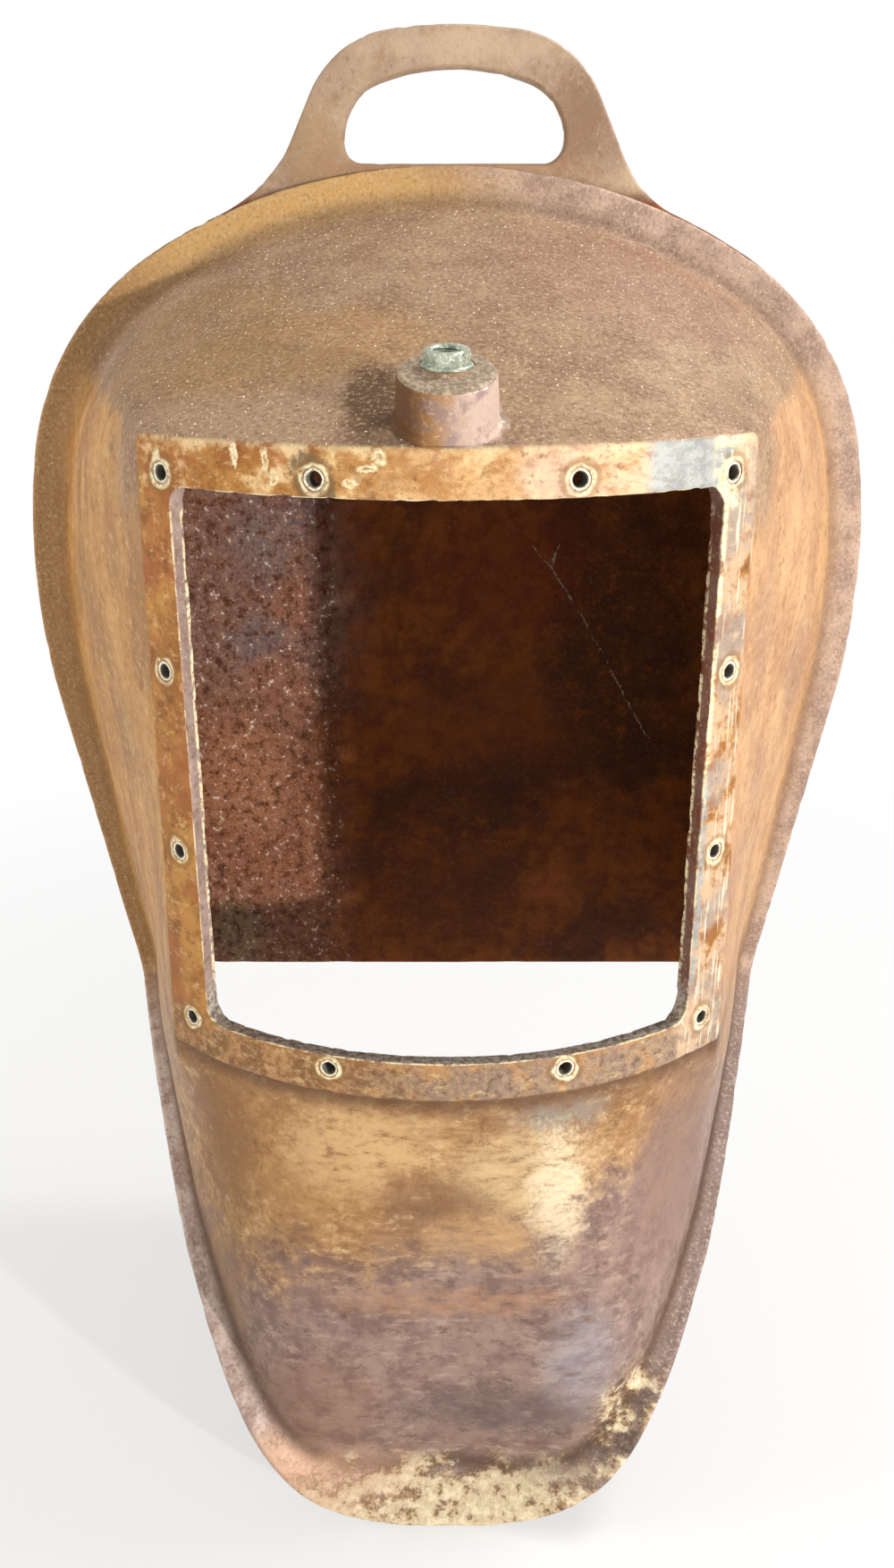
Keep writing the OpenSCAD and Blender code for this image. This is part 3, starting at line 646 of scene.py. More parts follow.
# %% Place of the inlet, on the wall's middle curve over the dome
dome_curve = [c[0] for c in wall_curve]
dome_t = (BOSS_BACK - FACE_REACH - dome_curve[0][1]) / (
    dome_curve[3][1] - dome_curve[0][1]
)
dome_p = bezier3(dome_curve, dome_t)
boss_place = (
    Matrix.Translation(Vector(dome_p) * MM)
    @ Matrix.Rotation(math.radians(BOSS_TILT), 4, "X")
    @ Matrix.Translation((0, 0, BOSS_H * MM))
)
inlet = (
    boss_place
    @ Matrix.Translation((0, INLET_BACK * MM, 0))
    @ Matrix.Rotation(math.radians(INLET_TILT - BOSS_TILT), 4, "X")
)


def placed(piece, matrix):
    """The piece moved in its mesh, so that its object stays at the origin."""
    piece.data.transform(matrix)
    return piece


def softened(piece, amount, size, seed):
    """The piece with the uneven skin of a casting."""
    mesh = piece.data
    where = np.array([v.co for v in mesh.vertices]) / MM
    lean = np.array([v.normal for v in mesh.vertices])
    where += lean * (amount * ripple(where, size, seed, 2))[:, None]
    mesh.vertices.foreach_set("co", (where * MM).astype(np.float32).ravel())
    mesh.update()
    return piece


def rounded(corner, radius, start, end, steps=5):
    """Points of a rounded corner of a turned profile, with headings from out2."""
    return [
        np.array(corner) + radius * out2(mix(start, end, k / steps))
        for k in range(steps + 1)
    ]


print("top of the boss, mm:", [round(v / MM, 1) for v in boss_place.to_translation()])

# %% Boss on the dome
SOFT, FLARE, SUNK = 1.8, 2.4, 1.0
boss_base = BOSS_D / 2 + (BOSS_H - SOFT) * math.tan(math.radians(BOSS_DRAFT))
boss_side = [
    (mix(BOSS_D / 2, boss_base, k / 6), mix(-SOFT, -BOSS_H, k / 6)) for k in range(1, 7)
]
body = turned(
    "boss_body",
    [(0, 0), (6, 0), (9, 0)]
    + rounded((BOSS_D / 2 - SOFT, -SOFT), SOFT, 0, 90)
    + boss_side
    + [(0, -BOSS_H)],
    96,
)
base = turned(
    "boss_foot",
    [(0, FLARE - SUNK - BOSS_H)]
    + [
        np.array([boss_base + FLARE, FLARE - SUNK - BOSS_H]) - FLARE * out2(mix(90, 0, k / 8))
        for k in range(9)
    ]
    + [(boss_base + FLARE, -BOSS_H - WALL_T / 2), (0, -BOSS_H - WALL_T / 2)],
    96,
)
within_face = turned(
    "window_cylinder",
    [(0, 0), (FACE_R - 0.5, 0), (FACE_R - 0.5, PLATE_H), (0, PLATE_H)],
    240,
)
placed(within_face, Matrix.Translation((0, (FACE_R - FACE_REACH) * MM, 0)))
spot_r = HEX_CORNER + 1.1
spot = turned("spot", [(0, -SOFT - 1), (spot_r, -SOFT - 1), (spot_r, 0.5), (0, 0.5)], 96)
placed(softened(base, 0.12, 9, 8), boss_place)
placed(softened(body, 0.3, 9, 7), boss_place)
combine(body, placed(spot, inlet), "UNION")
combine(base, within_face, "INTERSECT")
combine(body, base, "UNION")
combine(front, body, "UNION")
print("boss joined:", len(front.data.polygons), "faces")

# %% Places of the tapped holes round the window and in the flange
bush_places = [
    (turn * a, z)
    for turn in (-1, 1)
    for a, z in (
        (BUSH_ROW_A, OPENING_TOP + BUSH_INSET),
        (BUSH_CORNER_A, OPENING_TOP + 0.7 * BUSH_INSET),
        (BUSH_SIDE_A, mix(OPENING_TOP, OPENING_BOTTOM, 0.32)),
        (BUSH_SIDE_A, mix(OPENING_TOP, OPENING_BOTTOM, 0.66)),
        (BUSH_SIDE_A, OPENING_BOTTOM - 1.5),
        (BUSH_LOW_A, OPENING_BOTTOM - BUSH_INSET),
    )
]


def bush_matrix(angle, z):
    """The window's face at that angle and height, with local Z pointing out of it."""
    return (
        Matrix.Translation((0, (FACE_R - FACE_REACH) * MM, z * MM))
        @ Matrix.Rotation(math.radians(angle), 4, "Z")
        @ Matrix.Translation((0, -FACE_R * MM, 0))
        @ Matrix.Rotation(math.radians(90), 4, "X")
    )


def screw_matrix(index):
    """The plate's back at that screw, with local Z pointing into the joint."""
    turn = -1 if index < SCREWS_A_SIDE else 1
    k = index % SCREWS_A_SIDE
    p, _ = head_at(head_l * (k + 0.5) / SCREWS_A_SIDE, SCREW_INSET)
    return (
        Matrix.Translation((turn * p[0] * MM, PLATE_T * MM, p[1] * MM))
        @ Matrix.Rotation(math.radians(90), 4, "X")
        @ Matrix.Rotation(math.radians(index * SCREW_TURN), 4, "Z")
    )


bush_matrices = [bush_matrix(a, z) for a, z in bush_places]
screw_matrices = [screw_matrix(k) for k in range(2 * SCREWS_A_SIDE)]
print("window holes:", len(bush_matrices), "flange screws:", len(screw_matrices))

# %% Cut the bores
cutter = turned(
    "inlet_bore",
    [
        (0, 4),
        (spot_r + 0.3, 4),
        (spot_r + 0.3, 0),
        (SHANK_D / 2 + SEAT_GAP, 0),
        (SHANK_D / 2 + SEAT_GAP, CHAMBER_TOP),
        (CHAMBER_D / 2, CHAMBER_TOP),
        (CHAMBER_D / 2, -BOSS_H - WALL_T - 3),
        (0, -BOSS_H - WALL_T - 3),
    ],
    96,
)
combine(front, placed(cutter, inlet), "DIFFERENCE")


def rod(radius, low, high, count=48):
    """A plain rod about Z, from one height to another, for cutting."""
    return turned("rod", [(0, low), (radius, low), (radius, high), (0, high)], count)


for matrix in bush_matrices:
    combine(
        front, placed(rod(BUSH_D / 2 + SEAT_GAP, -PAD_T - 1, 1), matrix), "DIFFERENCE"
    )
for matrix in screw_matrices:
    cut = rod(SCREW_D / 2, PLATE_T, PLATE_T + GASKET_T + TAPPED_DEPTH)
    combine(front, placed(cut, matrix), "DIFFERENCE")
front.data.shade_smooth()
front.data.set_sharp_from_angle(angle=math.radians(38))
print("bored:", len(front.data.polygons), "faces")

# %% [markdown]
# ## Back plate with its handle
# The back of the helmet is a flat casting, 8 mm thick, with a lifting handle cast in one with
# it. Extruding its outline would give one big polygon that can't swell. Here the outline gets a
# soft edge, and a Delaunay triangulation fills the faces with even triangles, so that they can
# be a little uneven too.

# %% Outlines of the plate and of the hand hole
handle_top = PLATE_H + HANDLE_RISE
grip_c = np.array([0, handle_top - GRIP_TOP_R])
corner_c = grip_c + (GRIP_TOP_R - HANDLE_CORNER_R) * out2(GRIP_TOP_A)
from_crown = corner_c + (HANDLE_CORNER_R + HANDLE_BLEND_R) * out2(HANDLE_SIDE_A) - crown_c
dot = from_crown @ along2(HANDLE_SIDE_A)
slide = -dot - math.sqrt(
    dot * dot - from_crown @ from_crown + (CROWN_R + HANDLE_BLEND_R) ** 2
)
blend_c = crown_c + from_crown + slide * along2(HANDLE_SIDE_A)
blend_end = math.degrees(math.atan2(*(blend_c - crown_c)))
grip_under = handle_top - GRIP_H
arch_r = GRIP_UPPER_R + (GRIP_W / 2 - GRIP_UPPER_R) / math.sin(math.radians(GRIP_ARCH_A))
arch_c = np.array([0, grip_under - arch_r])
upper_c = arch_c + (arch_r - GRIP_UPPER_R) * out2(GRIP_ARCH_A)
lower_c = np.array([GRIP_W / 2 - GRIP_LOWER_R, PLATE_H + GRIP_LOWER_R])


LEAN_BELOW, LEAN_OVER = 24, 36


def whole(top, half):
    """A whole outline from its top point and the rest of its right half, leant as cast."""
    points = np.array([top] + list(half) + [p * [-1, 1] for p in reversed(half)], float)
    points[:, 0] += HANDLE_LEAN * smooth((points[:, 1] - PLATE_H + LEAN_BELOW) / LEAN_OVER)
    return points


def plate_outline(inset):
    sole = foot(inset, inset)
    return whole(
        [0, handle_top - inset],
        arc_points((grip_c, GRIP_TOP_R, 0, GRIP_TOP_A), inset, 8)
        + arc_points((corner_c, HANDLE_CORNER_R, GRIP_TOP_A, HANDLE_SIDE_A), inset, 20)
        + [
            blend_c
            - (HANDLE_BLEND_R + inset) * out2(mix(HANDLE_SIDE_A, blend_end, k / 20))
            for k in range(21)
        ]
        + arc_points((crown_c, CROWN_R, blend_end, CROWN_A), inset, 16)
        + arc_points(HEAD_ARCS[1], inset, 36)
        + arc_points(HEAD_ARCS[2], inset, 40)
        + [mix(arc_point(HEAD_ARCS[2], cheek_end, inset), sole, k / 20) for k in range(1, 21)]
        + [sole * [1 - k / 30, 1] for k in range(1, 30)],
    )


def grip_outline(outset):
    return whole(
        [0, grip_under + outset],
        arc_points((arch_c, arch_r, 0, GRIP_ARCH_A), -outset, 8)
        + arc_points((upper_c, GRIP_UPPER_R, GRIP_ARCH_A, 90), -outset, 16)
        + [lower_c + [GRIP_LOWER_R + outset, 0]]
        + arc_points((lower_c, GRIP_LOWER_R, 90, 180), -outset, 8)
        + [(lower_c - [0, GRIP_LOWER_R + outset]) * [1 - k / 10, 1] for k in range(1, 10)],
    )


def inside_of(points, outline):
    """Which points lie inside a closed outline."""
    x, z = points[:, :1], points[:, 1:]
    a, b = outline, np.roll(outline, -1, 0)
    crosses = (a[:, 1] > z) != (b[:, 1] > z)
    with np.errstate(divide="ignore", invalid="ignore"):
        at = a[:, 0] + (z - a[:, 1]) * (b[:, 0] - a[:, 0]) / (b[:, 1] - a[:, 1])
    return (np.where(crosses, x < at, False).sum(1) % 2) == 1


print("handle top at", handle_top, "mm; blend ends at", round(blend_end, 1), "degrees")

# %% Soft edges, then triangles over the two faces
EDGE_R, GRIP_EDGE_R, CELL, TRIANGLE_H = 1.5, 2.2, 5.0, 0.866


def edge_levels(outline, radius, steps=4):
    """Rings of points over a plate's rounded edge, from the front face to the back."""
    turns = [math.radians(90 * k / steps) for k in range(steps + 1)]
    front_half = [(radius * (1 - math.sin(a)), radius * (1 - math.cos(a))) for a in turns]
    levels = front_half + [(e, PLATE_T - y) for e, y in reversed(front_half)]
    return [[(p[0], y, p[1]) for p in outline(e)] for e, y in levels]


outer_face, hole_face = plate_outline(EDGE_R), grip_outline(GRIP_EDGE_R)
low, high = outer_face.min(0), outer_face.max(0)
lattice = np.array(
    [
        (x + (row % 2) * CELL / 2, low[1] + (row + 0.7) * CELL * TRIANGLE_H)
        for row in range(int((high[1] - low[1]) / CELL / TRIANGLE_H))
        for x in np.arange(low[0], high[0], CELL)
    ]
)
lattice = lattice[inside_of(lattice, outer_face) & ~inside_of(lattice, hole_face)]
borders = np.concatenate([outer_face, hole_face])
gaps = [np.min(np.sum((borders - p) ** 2, 1)) for p in lattice]
lattice = lattice[np.array(gaps) > (CELL * 0.45) ** 2]
sheet = np.concatenate([borders, lattice])


def loop_edges(first, count):
    return [(first + k, first + (k + 1) % count) for k in range(count)]


made = geometry.delaunay_2d_cdt(
    [Vector(p) for p in sheet],
    loop_edges(0, len(outer_face)) + loop_edges(len(outer_face), len(hole_face)),
    [],
    0,
    1e-6,
)
spots = np.array([tuple(p) for p in made[0]])
faces = np.array(made[2])
middles = spots[faces].mean(1)
sides = spots[faces[:, 1:]] - spots[faces[:, :1]]
areas = np.abs(sides[:, 0, 0] * sides[:, 1, 1] - sides[:, 0, 1] * sides[:, 1, 0]) / 2
in_plate = inside_of(middles, outer_face) & ~inside_of(middles, hole_face)
faces = faces[in_plate & (areas > 0.01)]
points, quads = [], []
for levels in (edge_levels(plate_outline, EDGE_R), edge_levels(grip_outline, GRIP_EDGE_R)):
    first, count = len(points), len(levels[0])
    points += [p for ring in levels for p in ring]
    quads += [tuple(first + i for i in f) for f in ring_faces(len(levels), count, False)]
for y in (0.0, PLATE_T):
    first = len(points)
    points += [(p[0], y, p[1]) for p in spots]
    quads += [tuple(first + i for i in f) for f in faces.tolist()]
back = new_object("cast_back", points, quads, 40)
print("back casting:", len(back.data.polygons), "faces")

# %% Its uneven skin, then the screw holes
places = np.array([v.co for v in back.data.vertices]) / MM
normals = np.array([v.normal for v in back.data.vertices])
under_flange = inside_of(places[:, ::2], plate_outline(-1)) & (places[:, 1] < 4)
on_joint = under_flange & (places[:, 2] < PLATE_H)
radial = ripple(places, 40, 11) * 0.18 + ripple(places, 11, 12) * 0.1
nibble = np.clip(ripple(places, 5, 13, 2) - 0.15, 0, 1)
is_edge = np.abs(normals[:, 1]) < 0.95
moved = np.where(is_edge, radial - 0.7 * nibble, radial - 0.25)
moved = np.where(on_joint & ~is_edge, 0.0, moved)
places = places + normals * moved[:, None]
back.data.vertices.foreach_set("co", (places * MM).astype(np.float32).ravel())
back.data.update()
for matrix in screw_matrices:
    countersink = turned(
        "countersink",
        [
            (0, -1),
            (SCREW_HEAD_D / 2 + 1.2, -1),
            (SCREW_D / 2 + 0.2, head_cone + 0.2),
            (SCREW_D / 2 + 0.2, PLATE_T + 1),
            (0, PLATE_T + 1),
        ],
        48,
    )
    combine(back, placed(countersink, matrix), "DIFFERENCE")
back.data.shade_smooth()
back.data.set_sharp_from_angle(angle=math.radians(38))
print("with its screw holes:", len(back.data.polygons), "faces")

# %% [markdown]
# ## Node trees as expressions
# Geometry Nodes place what repeats, and shader nodes paint what varies. Both kinds of tree are
# written here as Python expressions: a Wire stands for a socket, and sums and products of
# wires add Math nodes to its tree.


# %% A wire and a board of nodes
class Wire:
    """An output socket that can be used in sums."""

    def __init__(self, board, socket):
        self.board, self.socket = board, socket

    def __add__(self, other):
        return self.board.maths("ADD", self, other)

    def __sub__(self, other):
        return self.board.maths("SUBTRACT", self, other)

    def __rsub__(self, other):
        return self.board.maths("SUBTRACT", other, self)

    def __mul__(self, other):
        return self.board.maths("MULTIPLY", self, other)

    def __truediv__(self, other):
        return self.board.maths("DIVIDE", self, other)

    def __rtruediv__(self, other):
        return self.board.maths("DIVIDE", other, self)

    def __pow__(self, other):
        return self.board.maths("POWER", self, other)

    __radd__ = __add__
    __rmul__ = __mul__

    def clamped(self):
        wire = self.board.maths("ADD", self, 0.0)
        wire.socket.node.use_clamp = True
        return wire


class Board:
    """A node tree that nodes are added to, of shaders or of geometry."""

    def __init__(self, tree):
        self.tree = tree

    def node(self, kind, settings=None, inputs=None, output=0):
        made = self.tree.nodes.new(kind)
        for name, value in (settings or {}).items():
            setattr(made, name, value)
        for name, value in (inputs or {}).items():
            self.feed(made.inputs[name], value)
        return Wire(self, made.outputs[output])

    def feed(self, socket, value):
        if isinstance(value, Wire):
            self.tree.links.new(value.socket, socket)
        elif value is not None:
            socket.default_value = value

    def maths(self, operation, *values):
        return self.node(
            "ShaderNodeMath", {"operation": operation}, dict(enumerate(values))
        )

    def vectors(self, operation, *values, output=0):
        return self.node(
            "ShaderNodeVectorMath",
            {"operation": operation},
            dict(enumerate(values)),
            output,
        )


print("boards ready")

# %% [markdown]
# ## Copies in their places
# The window's twelve bushes are alike, and so are the fourteen screws of the joint. One of each
# is turned, and a Geometry Nodes tree puts copies of it on points that carry a turn. Realised
# copies are then worn a little by noise, each in its own way.


# %% Trees of Geometry Nodes
def new_tree(name, sockets):
    """A geometry tree with these named inputs, and its board and group input node."""
    tree = bpy.data.node_groups.new(name, "GeometryNodeTree")
    tree.interface.new_socket("Geometry", in_out="INPUT", socket_type="NodeSocketGeometry")
    for label, kind in sockets:
        tree.interface.new_socket(label, in_out="INPUT", socket_type="NodeSocket" + kind)
    tree.interface.new_socket("Geometry", in_out="OUTPUT", socket_type="NodeSocketGeometry")
    board = Board(tree)
    entry = tree.nodes.new("NodeGroupInput")
    return tree, board, {s.name: Wire(board, s) for s in entry.outputs if s.name}


def close_tree(board, geometry_wire, finish):
    """Realised instances with their material go out of the tree."""
    real = board.node("GeometryNodeRealizeInstances", None, {0: geometry_wire})
    painted = board.node("GeometryNodeSetMaterial", None, {0: real, "Material": finish})
    leave = board.tree.nodes.new("NodeGroupOutput")
    board.feed(leave.inputs[0], painted)


def grown(name, host_mesh, tree, values):
    """What a tree makes of a mesh, as a plain object."""
    host = bpy.data.objects.new(name, host_mesh)
    bpy.context.scene.collection.objects.link(host)
    growth = host.modifiers.new("grow", "NODES")
    growth.node_group = tree
    sockets = {
        item.name: item.identifier
        for item in tree.interface.items_tree
        if item.item_type == "SOCKET" and item.in_out == "INPUT"
    }
    for label, value in values.items():
        growth[sockets[label]] = value
    host.data = evaluated_copy(host)
    host.modifiers.clear()
    return host


print("trees can be grown")


# %% A tree that places worn copies
def worn_copies_tree():
    tree, board, given = new_tree(
        "worn copies",
        [
            ("Copy", "Object"),
            ("Wear", "Float"),
            ("Grain", "Float"),
            ("Seed", "Float"),
            ("Finish", "Material"),
        ],
    )
    copy = board.node("GeometryNodeObjectInfo", None, {"Object": given["Copy"]})
    copy = Wire(board, copy.socket.node.outputs["Geometry"])
    turn = board.node(
        "GeometryNodeInputNamedAttribute", {"data_type": "FLOAT_VECTOR"}, {"Name": "turn"}
    )
    turn = board.node("FunctionNodeEulerToRotation", None, {0: turn})
    placed_copies = board.node(
        "GeometryNodeInstanceOnPoints",
        None,
        {"Points": given["Geometry"], "Instance": copy, "Rotation": turn},
    )
    real = board.node("GeometryNodeRealizeInstances", None, {0: placed_copies})
    where = board.node("GeometryNodeInputPosition")
    grain = board.node(
        "ShaderNodeTexNoise",
        {"noise_dimensions": "4D"},
        {"Vector": where, "W": given["Seed"], "Scale": 1 / given["Grain"], "Detail": 1.0},
        output=1,
    )
    offset = board.vectors("SUBTRACT", grain, (0.5, 0.5, 0.5))
    reach = board.vectors("SCALE", offset)
    board.feed(reach.socket.node.inputs["Scale"], given["Wear"])
    moved = board.node("GeometryNodeSetPosition", None, {0: real, "Offset": reach})
    close_tree(board, moved, given["Finish"])
    return tree


def turn_points(matrices):
    """A mesh of loose points that carry the turns of these places."""
    mesh = bpy.data.meshes.new("places")
    mesh.from_pydata([m.to_translation() for m in matrices], [], [])
    layer = mesh.attributes.new("turn", "FLOAT_VECTOR", "POINT")
    layer.data.foreach_set("vector", [a for m in matrices for a in m.to_euler()])
    return mesh


copies_tree = worn_copies_tree()
print("tree:", copies_tree.name, "with", len(copies_tree.nodes), "nodes")

# %% [markdown]
# ## Threads
# A tapped hole is a bore with a helical groove. In a turned mesh the bore's radius is simply
# let rise and fall with the height and the angle together, which gives a true helix for the
# cost of a few more rows.


# %% One window bush, tapped
def thread_rows(low, high, pitch, rows_per_turn=6):
    count = int((high - low) / pitch * rows_per_turn)
    return [mix(low, high, k / count) for k in range(count + 1)]


def helix(bore_r, pitch, depth, low, high):
    """Bends the circles of a bore into a thread between two heights."""

    def radius_at(radii, heights, angles):
        phase = (heights / pitch - angles / (2 * math.pi)) % 1.0
        groove = depth * (1 - np.abs(2 * phase - 1)) ** 1.2
        fade = np.clip(np.minimum(heights - low, high - heights) / (0.3 * pitch), 0, 1)
        in_bore = np.abs(radii - bore_r) < 1e-6
        return radii + np.where(in_bore, groove * fade, 0)

    return radius_at


BUSH_SUNK, BUSH_PITCH = 0.2, 0.8
bush_top, bush_low = -BUSH_SUNK, -BUSH_SUNK - BUSH_L
bore_r = BUSH_BORE / 2
bush_profile = (
    [(BUSH_D / 2, bush_low), (BUSH_D / 2, bush_top - 0.25), (BUSH_D / 2 - 0.25, bush_top)]
    + [(mix(BUSH_D / 2 - 0.3, bore_r + 0.45, k / 3), bush_top + 0.02 * k) for k in range(4)]
    + [(bore_r + 0.15, bush_top - 0.3)]
    + [(bore_r, z) for z in reversed(thread_rows(bush_low + 0.1, bush_top - 0.5, BUSH_PITCH))]
    + [(bore_r + 0.1, bush_low)]
)
one_bush = turned(
    "one_bush",
    bush_profile,
    40,
    closed=True,
    radius_at=helix(bore_r, BUSH_PITCH, 0.28, bush_low + 0.1, bush_top - 0.5),
)
print("bush:", len(one_bush.data.polygons), "faces")

# %% One countersunk screw with its slot
screw_l = PLATE_T + GASKET_T + TAPPED_DEPTH - 0.5
screw_r = SCREW_D / 2 - SEAT_GAP
one_screw = turned(
    "one_screw",
    [
        (0, 0.12),
        (2.5, 0.1),
        (SCREW_HEAD_D / 2 - 0.35, 0.08),
        (SCREW_HEAD_D / 2 - 0.1, 0.2),
        (screw_r, head_cone),
        (screw_r, screw_l - 0.6),
        (screw_r - 0.6, screw_l),
        (0, screw_l),
    ],
    48,
)
SLOT_SIZE = (0.02, 0.0012, 0.0022)
bpy.ops.mesh.primitive_cube_add(size=1, location=(0, 0, 0))
slot = bpy.context.object
slot.data.transform(
    Matrix.Translation((0, 0, 0.1 * MM)) @ Matrix.Diagonal((*SLOT_SIZE, 1))
)
combine(one_screw, slot, "DIFFERENCE")
one_screw.data.set_sharp_from_angle(angle=math.radians(35))
print("screw:", len(one_screw.data.polygons), "faces")

# %% [markdown]
# ## The air inlet
# A hexagonal brass fitting is screwed into the boss over a thin washer. Its corners are
# chamfered and its mouth is tapped for the hose. The hexagon is a turned piece too: its radius
# follows six flats round the axis, and a cone takes the corners off at the top.

# %% Hexagonal fitting
hex_low, hex_top = WASHER_T, WASHER_T + HEX_H
hose_low = hex_top - (HEX_H + WASHER_T - 0.3)
HOSE_PITCH = 1.0


def hexagon(radii, heights, angles):
    """Spreads the rows that are marked with the hexagon's corner radius onto its flats."""
    sector = (angles - math.radians(HEX_TURN)) % math.radians(60) - math.radians(30)
    flats = HEX_AF / 2 / np.cos(sector)
    cone = HEX_AF / 2 + 0.1 + (hex_top - heights) * 1.6
    bent = np.minimum(flats, cone)
    radii = np.where(radii >= HEX_CORNER - 1e-6, bent, radii)
    thread = helix(HOSE_D / 2, HOSE_PITCH, 0.35, hose_low + 0.2, hex_top - 0.5)
    return thread(radii, heights, angles)


hex_rows = [(HEX_CORNER, mix(hex_low, hex_top, t)) for t in (0, 0.3, 0.6, 0.75, 0.85, 0.95, 1)]
hose_rows = reversed(thread_rows(hose_low + 0.1, hex_top - 0.5, HOSE_PITCH))
nut = turned(
    "inlet_fitting",
    [(SHANK_D / 2, -SHANK_L + 0.4), (SHANK_D / 2, WASHER_T - 0.2), (SHANK_D / 2, hex_low)]
    + hex_rows
    + [(HEX_AF / 2 - 0.35, hex_top + 0.0), (HOSE_D / 2 + 0.55, hex_top)]
    + [(HOSE_D / 2 + 0.3, hex_top - 0.3)]
    + [(HOSE_D / 2, z) for z in hose_rows]
    + [(HOSE_D / 2, hose_low), (PASSAGE_D / 2 + 0.3, hose_low), (PASSAGE_D / 2, hose_low - 0.3)]
    + [(PASSAGE_D / 2, -SHANK_L), (SHANK_D / 2 - 0.4, -SHANK_L)],
    120,
    closed=True,
    radius_at=hexagon,
)
placed(softened(nut, 0.05, 3, 21), inlet)
washer_r = HEX_CORNER + 0.6
washer = turned(
    "inlet_washer",
    [
        (SHANK_D / 2 + SEAT_GAP, 0),
        (washer_r - 0.15, 0),
        (washer_r, 0.15),
        (washer_r, WASHER_T - 0.3),
        (washer_r - 0.3, WASHER_T),
        (SHANK_D / 2 + SEAT_GAP, WASHER_T),
    ],
    96,
    closed=True,
)
placed(washer, inlet)
print("fitting:", len(nut.data.polygons), "faces")

# %% [markdown]
# ## The non-return valve
# Inside the boss a light spring holds a disc against a seat, so that water can't rush up a cut
# hose. The seat, the disc and the cage are turned like the rest. The spring is wire on a
# helix, which Geometry Nodes can sweep along a spiral curve.

# %% Seat, disc and cage
seat_z = CHAMBER_TOP - SEAT_T
disc_z = seat_z - SHUT_GAP
cage_z = -BOSS_H - WALL_T - 2 + CAGE_T
guide_r = STEM_D / 2 + GUIDE_GAP
stem_end = cage_z - CAGE_T - 1
ring_r = CHAMBER_D / 2 - SEAT_GAP


def bevelled(outer, inner, low, top, soft):
    """The section of a ring with soft corners."""
    return [
        (inner + soft, low),
        (outer - soft, low),
        (outer, low + soft),
        (outer, top - soft),
        (outer - soft, top),
        (inner + soft, top),
        (inner, top - soft),
        (inner, low + soft),
    ]


seat = turned(
    "valve_seat_ring",
    bevelled(ring_r, SEAT_HOLE_D / 2, seat_z, seat_z + SEAT_T, 0.3),
    72,
    closed=True,
)
placed(seat, inlet)
stem_r, disc_r, disc_low = STEM_D / 2, DISC_D / 2, disc_z - DISC_T
disc = turned(
    "valve_disc_and_stem",
    [(0, disc_z), (SEAT_HOLE_D / 2 + 0.4, disc_z), (disc_r - 0.4, disc_z)]
    + [(disc_r, disc_z - 0.4), (disc_r, disc_low + 0.4), (disc_r - 0.4, disc_low)]
    + [(stem_r + 0.1, disc_low), (stem_r, disc_low - 0.1), (stem_r, stem_end + 0.5)]
    + [(stem_r - 0.5, stem_end), (0, stem_end)],
    72,
)
placed(disc, inlet)
cage = turned(
    "valve_cage_ring",
    bevelled(ring_r, guide_r, cage_z - CAGE_T, cage_z, 0.3),
    96,
    closed=True,
)
flow_r = (guide_r + 1.2 + CHAMBER_D / 2 - 1) / 2
for k in range(6):
    hole = rod(FLOW_HOLE_D / 2, cage_z - CAGE_T - 1, cage_z + 1, 32)
    a = math.radians(60 * k)
    place = Matrix.Translation((flow_r * math.cos(a) * MM, flow_r * math.sin(a) * MM, 0))
    combine(cage, placed(hole, place), "DIFFERENCE")
cage.data.set_sharp_from_angle(angle=math.radians(35))
placed(cage, inlet)
print("valve disc:", len(disc.data.polygons), "faces; cage:", len(cage.data.polygons))


# %% A tree that sweeps a wire along a spiral
def spring_tree():
    tree, board, given = new_tree(
        "coil spring",
        [
            ("Turns", "Float"),
            ("Radius", "Float"),
            ("Height", "Float"),
            ("Wire radius", "Float"),
            ("Finish", "Material"),
        ],
    )
    path = board.node(
        "GeometryNodeCurveSpiral",
        None,
        {
            "Resolution": 32,
            "Rotations": given["Turns"],
            "Start Radius": given["Radius"],
            "End Radius": given["Radius"],
            "Height": given["Height"],
        },
    )
    section = board.node(
        "GeometryNodeCurvePrimitiveCircle",
        None,
        {"Resolution": 10, "Radius": given["Wire radius"]},
    )
    swept = board.node(
        "GeometryNodeCurveToMesh",
        None,
        {"Curve": path, "Profile Curve": section, "Fill Caps": True},
    )
    close_tree(board, swept, given["Finish"])
    return tree


spring_low = cage_z + SPRING_GAP + WIRE_D / 2
spring_high = disc_low - SPRING_GAP - WIRE_D / 2
coil_tree = spring_tree()
print("spring from", spring_low, "to", spring_high, "mm along the inlet")

# %% [markdown]
# ## Paint
# A bronze that has been under water and in barns isn't one colour. Its patina is built from
# the base up: broad clouds of brown and tan, then streaks, then grime, chips and pale
# deposits, each behind its own mask. Masks come from noise, from the place in millimetres and
# from the attributes of the section's rows.


# %% Colours
def paint(code):
    """Linear colour from a hexadecimal display colour."""
    parts = [int(code[k : k + 2], 16) / 255 for k in (0, 2, 4)]
    return tuple(
        c / 12.92 if c <= 0.04045 else ((c + 0.055) / 1.055) ** 2.4 for c in parts
    ) + (1.0,)


print("middle grey:", round(paint("808080")[0], 3))


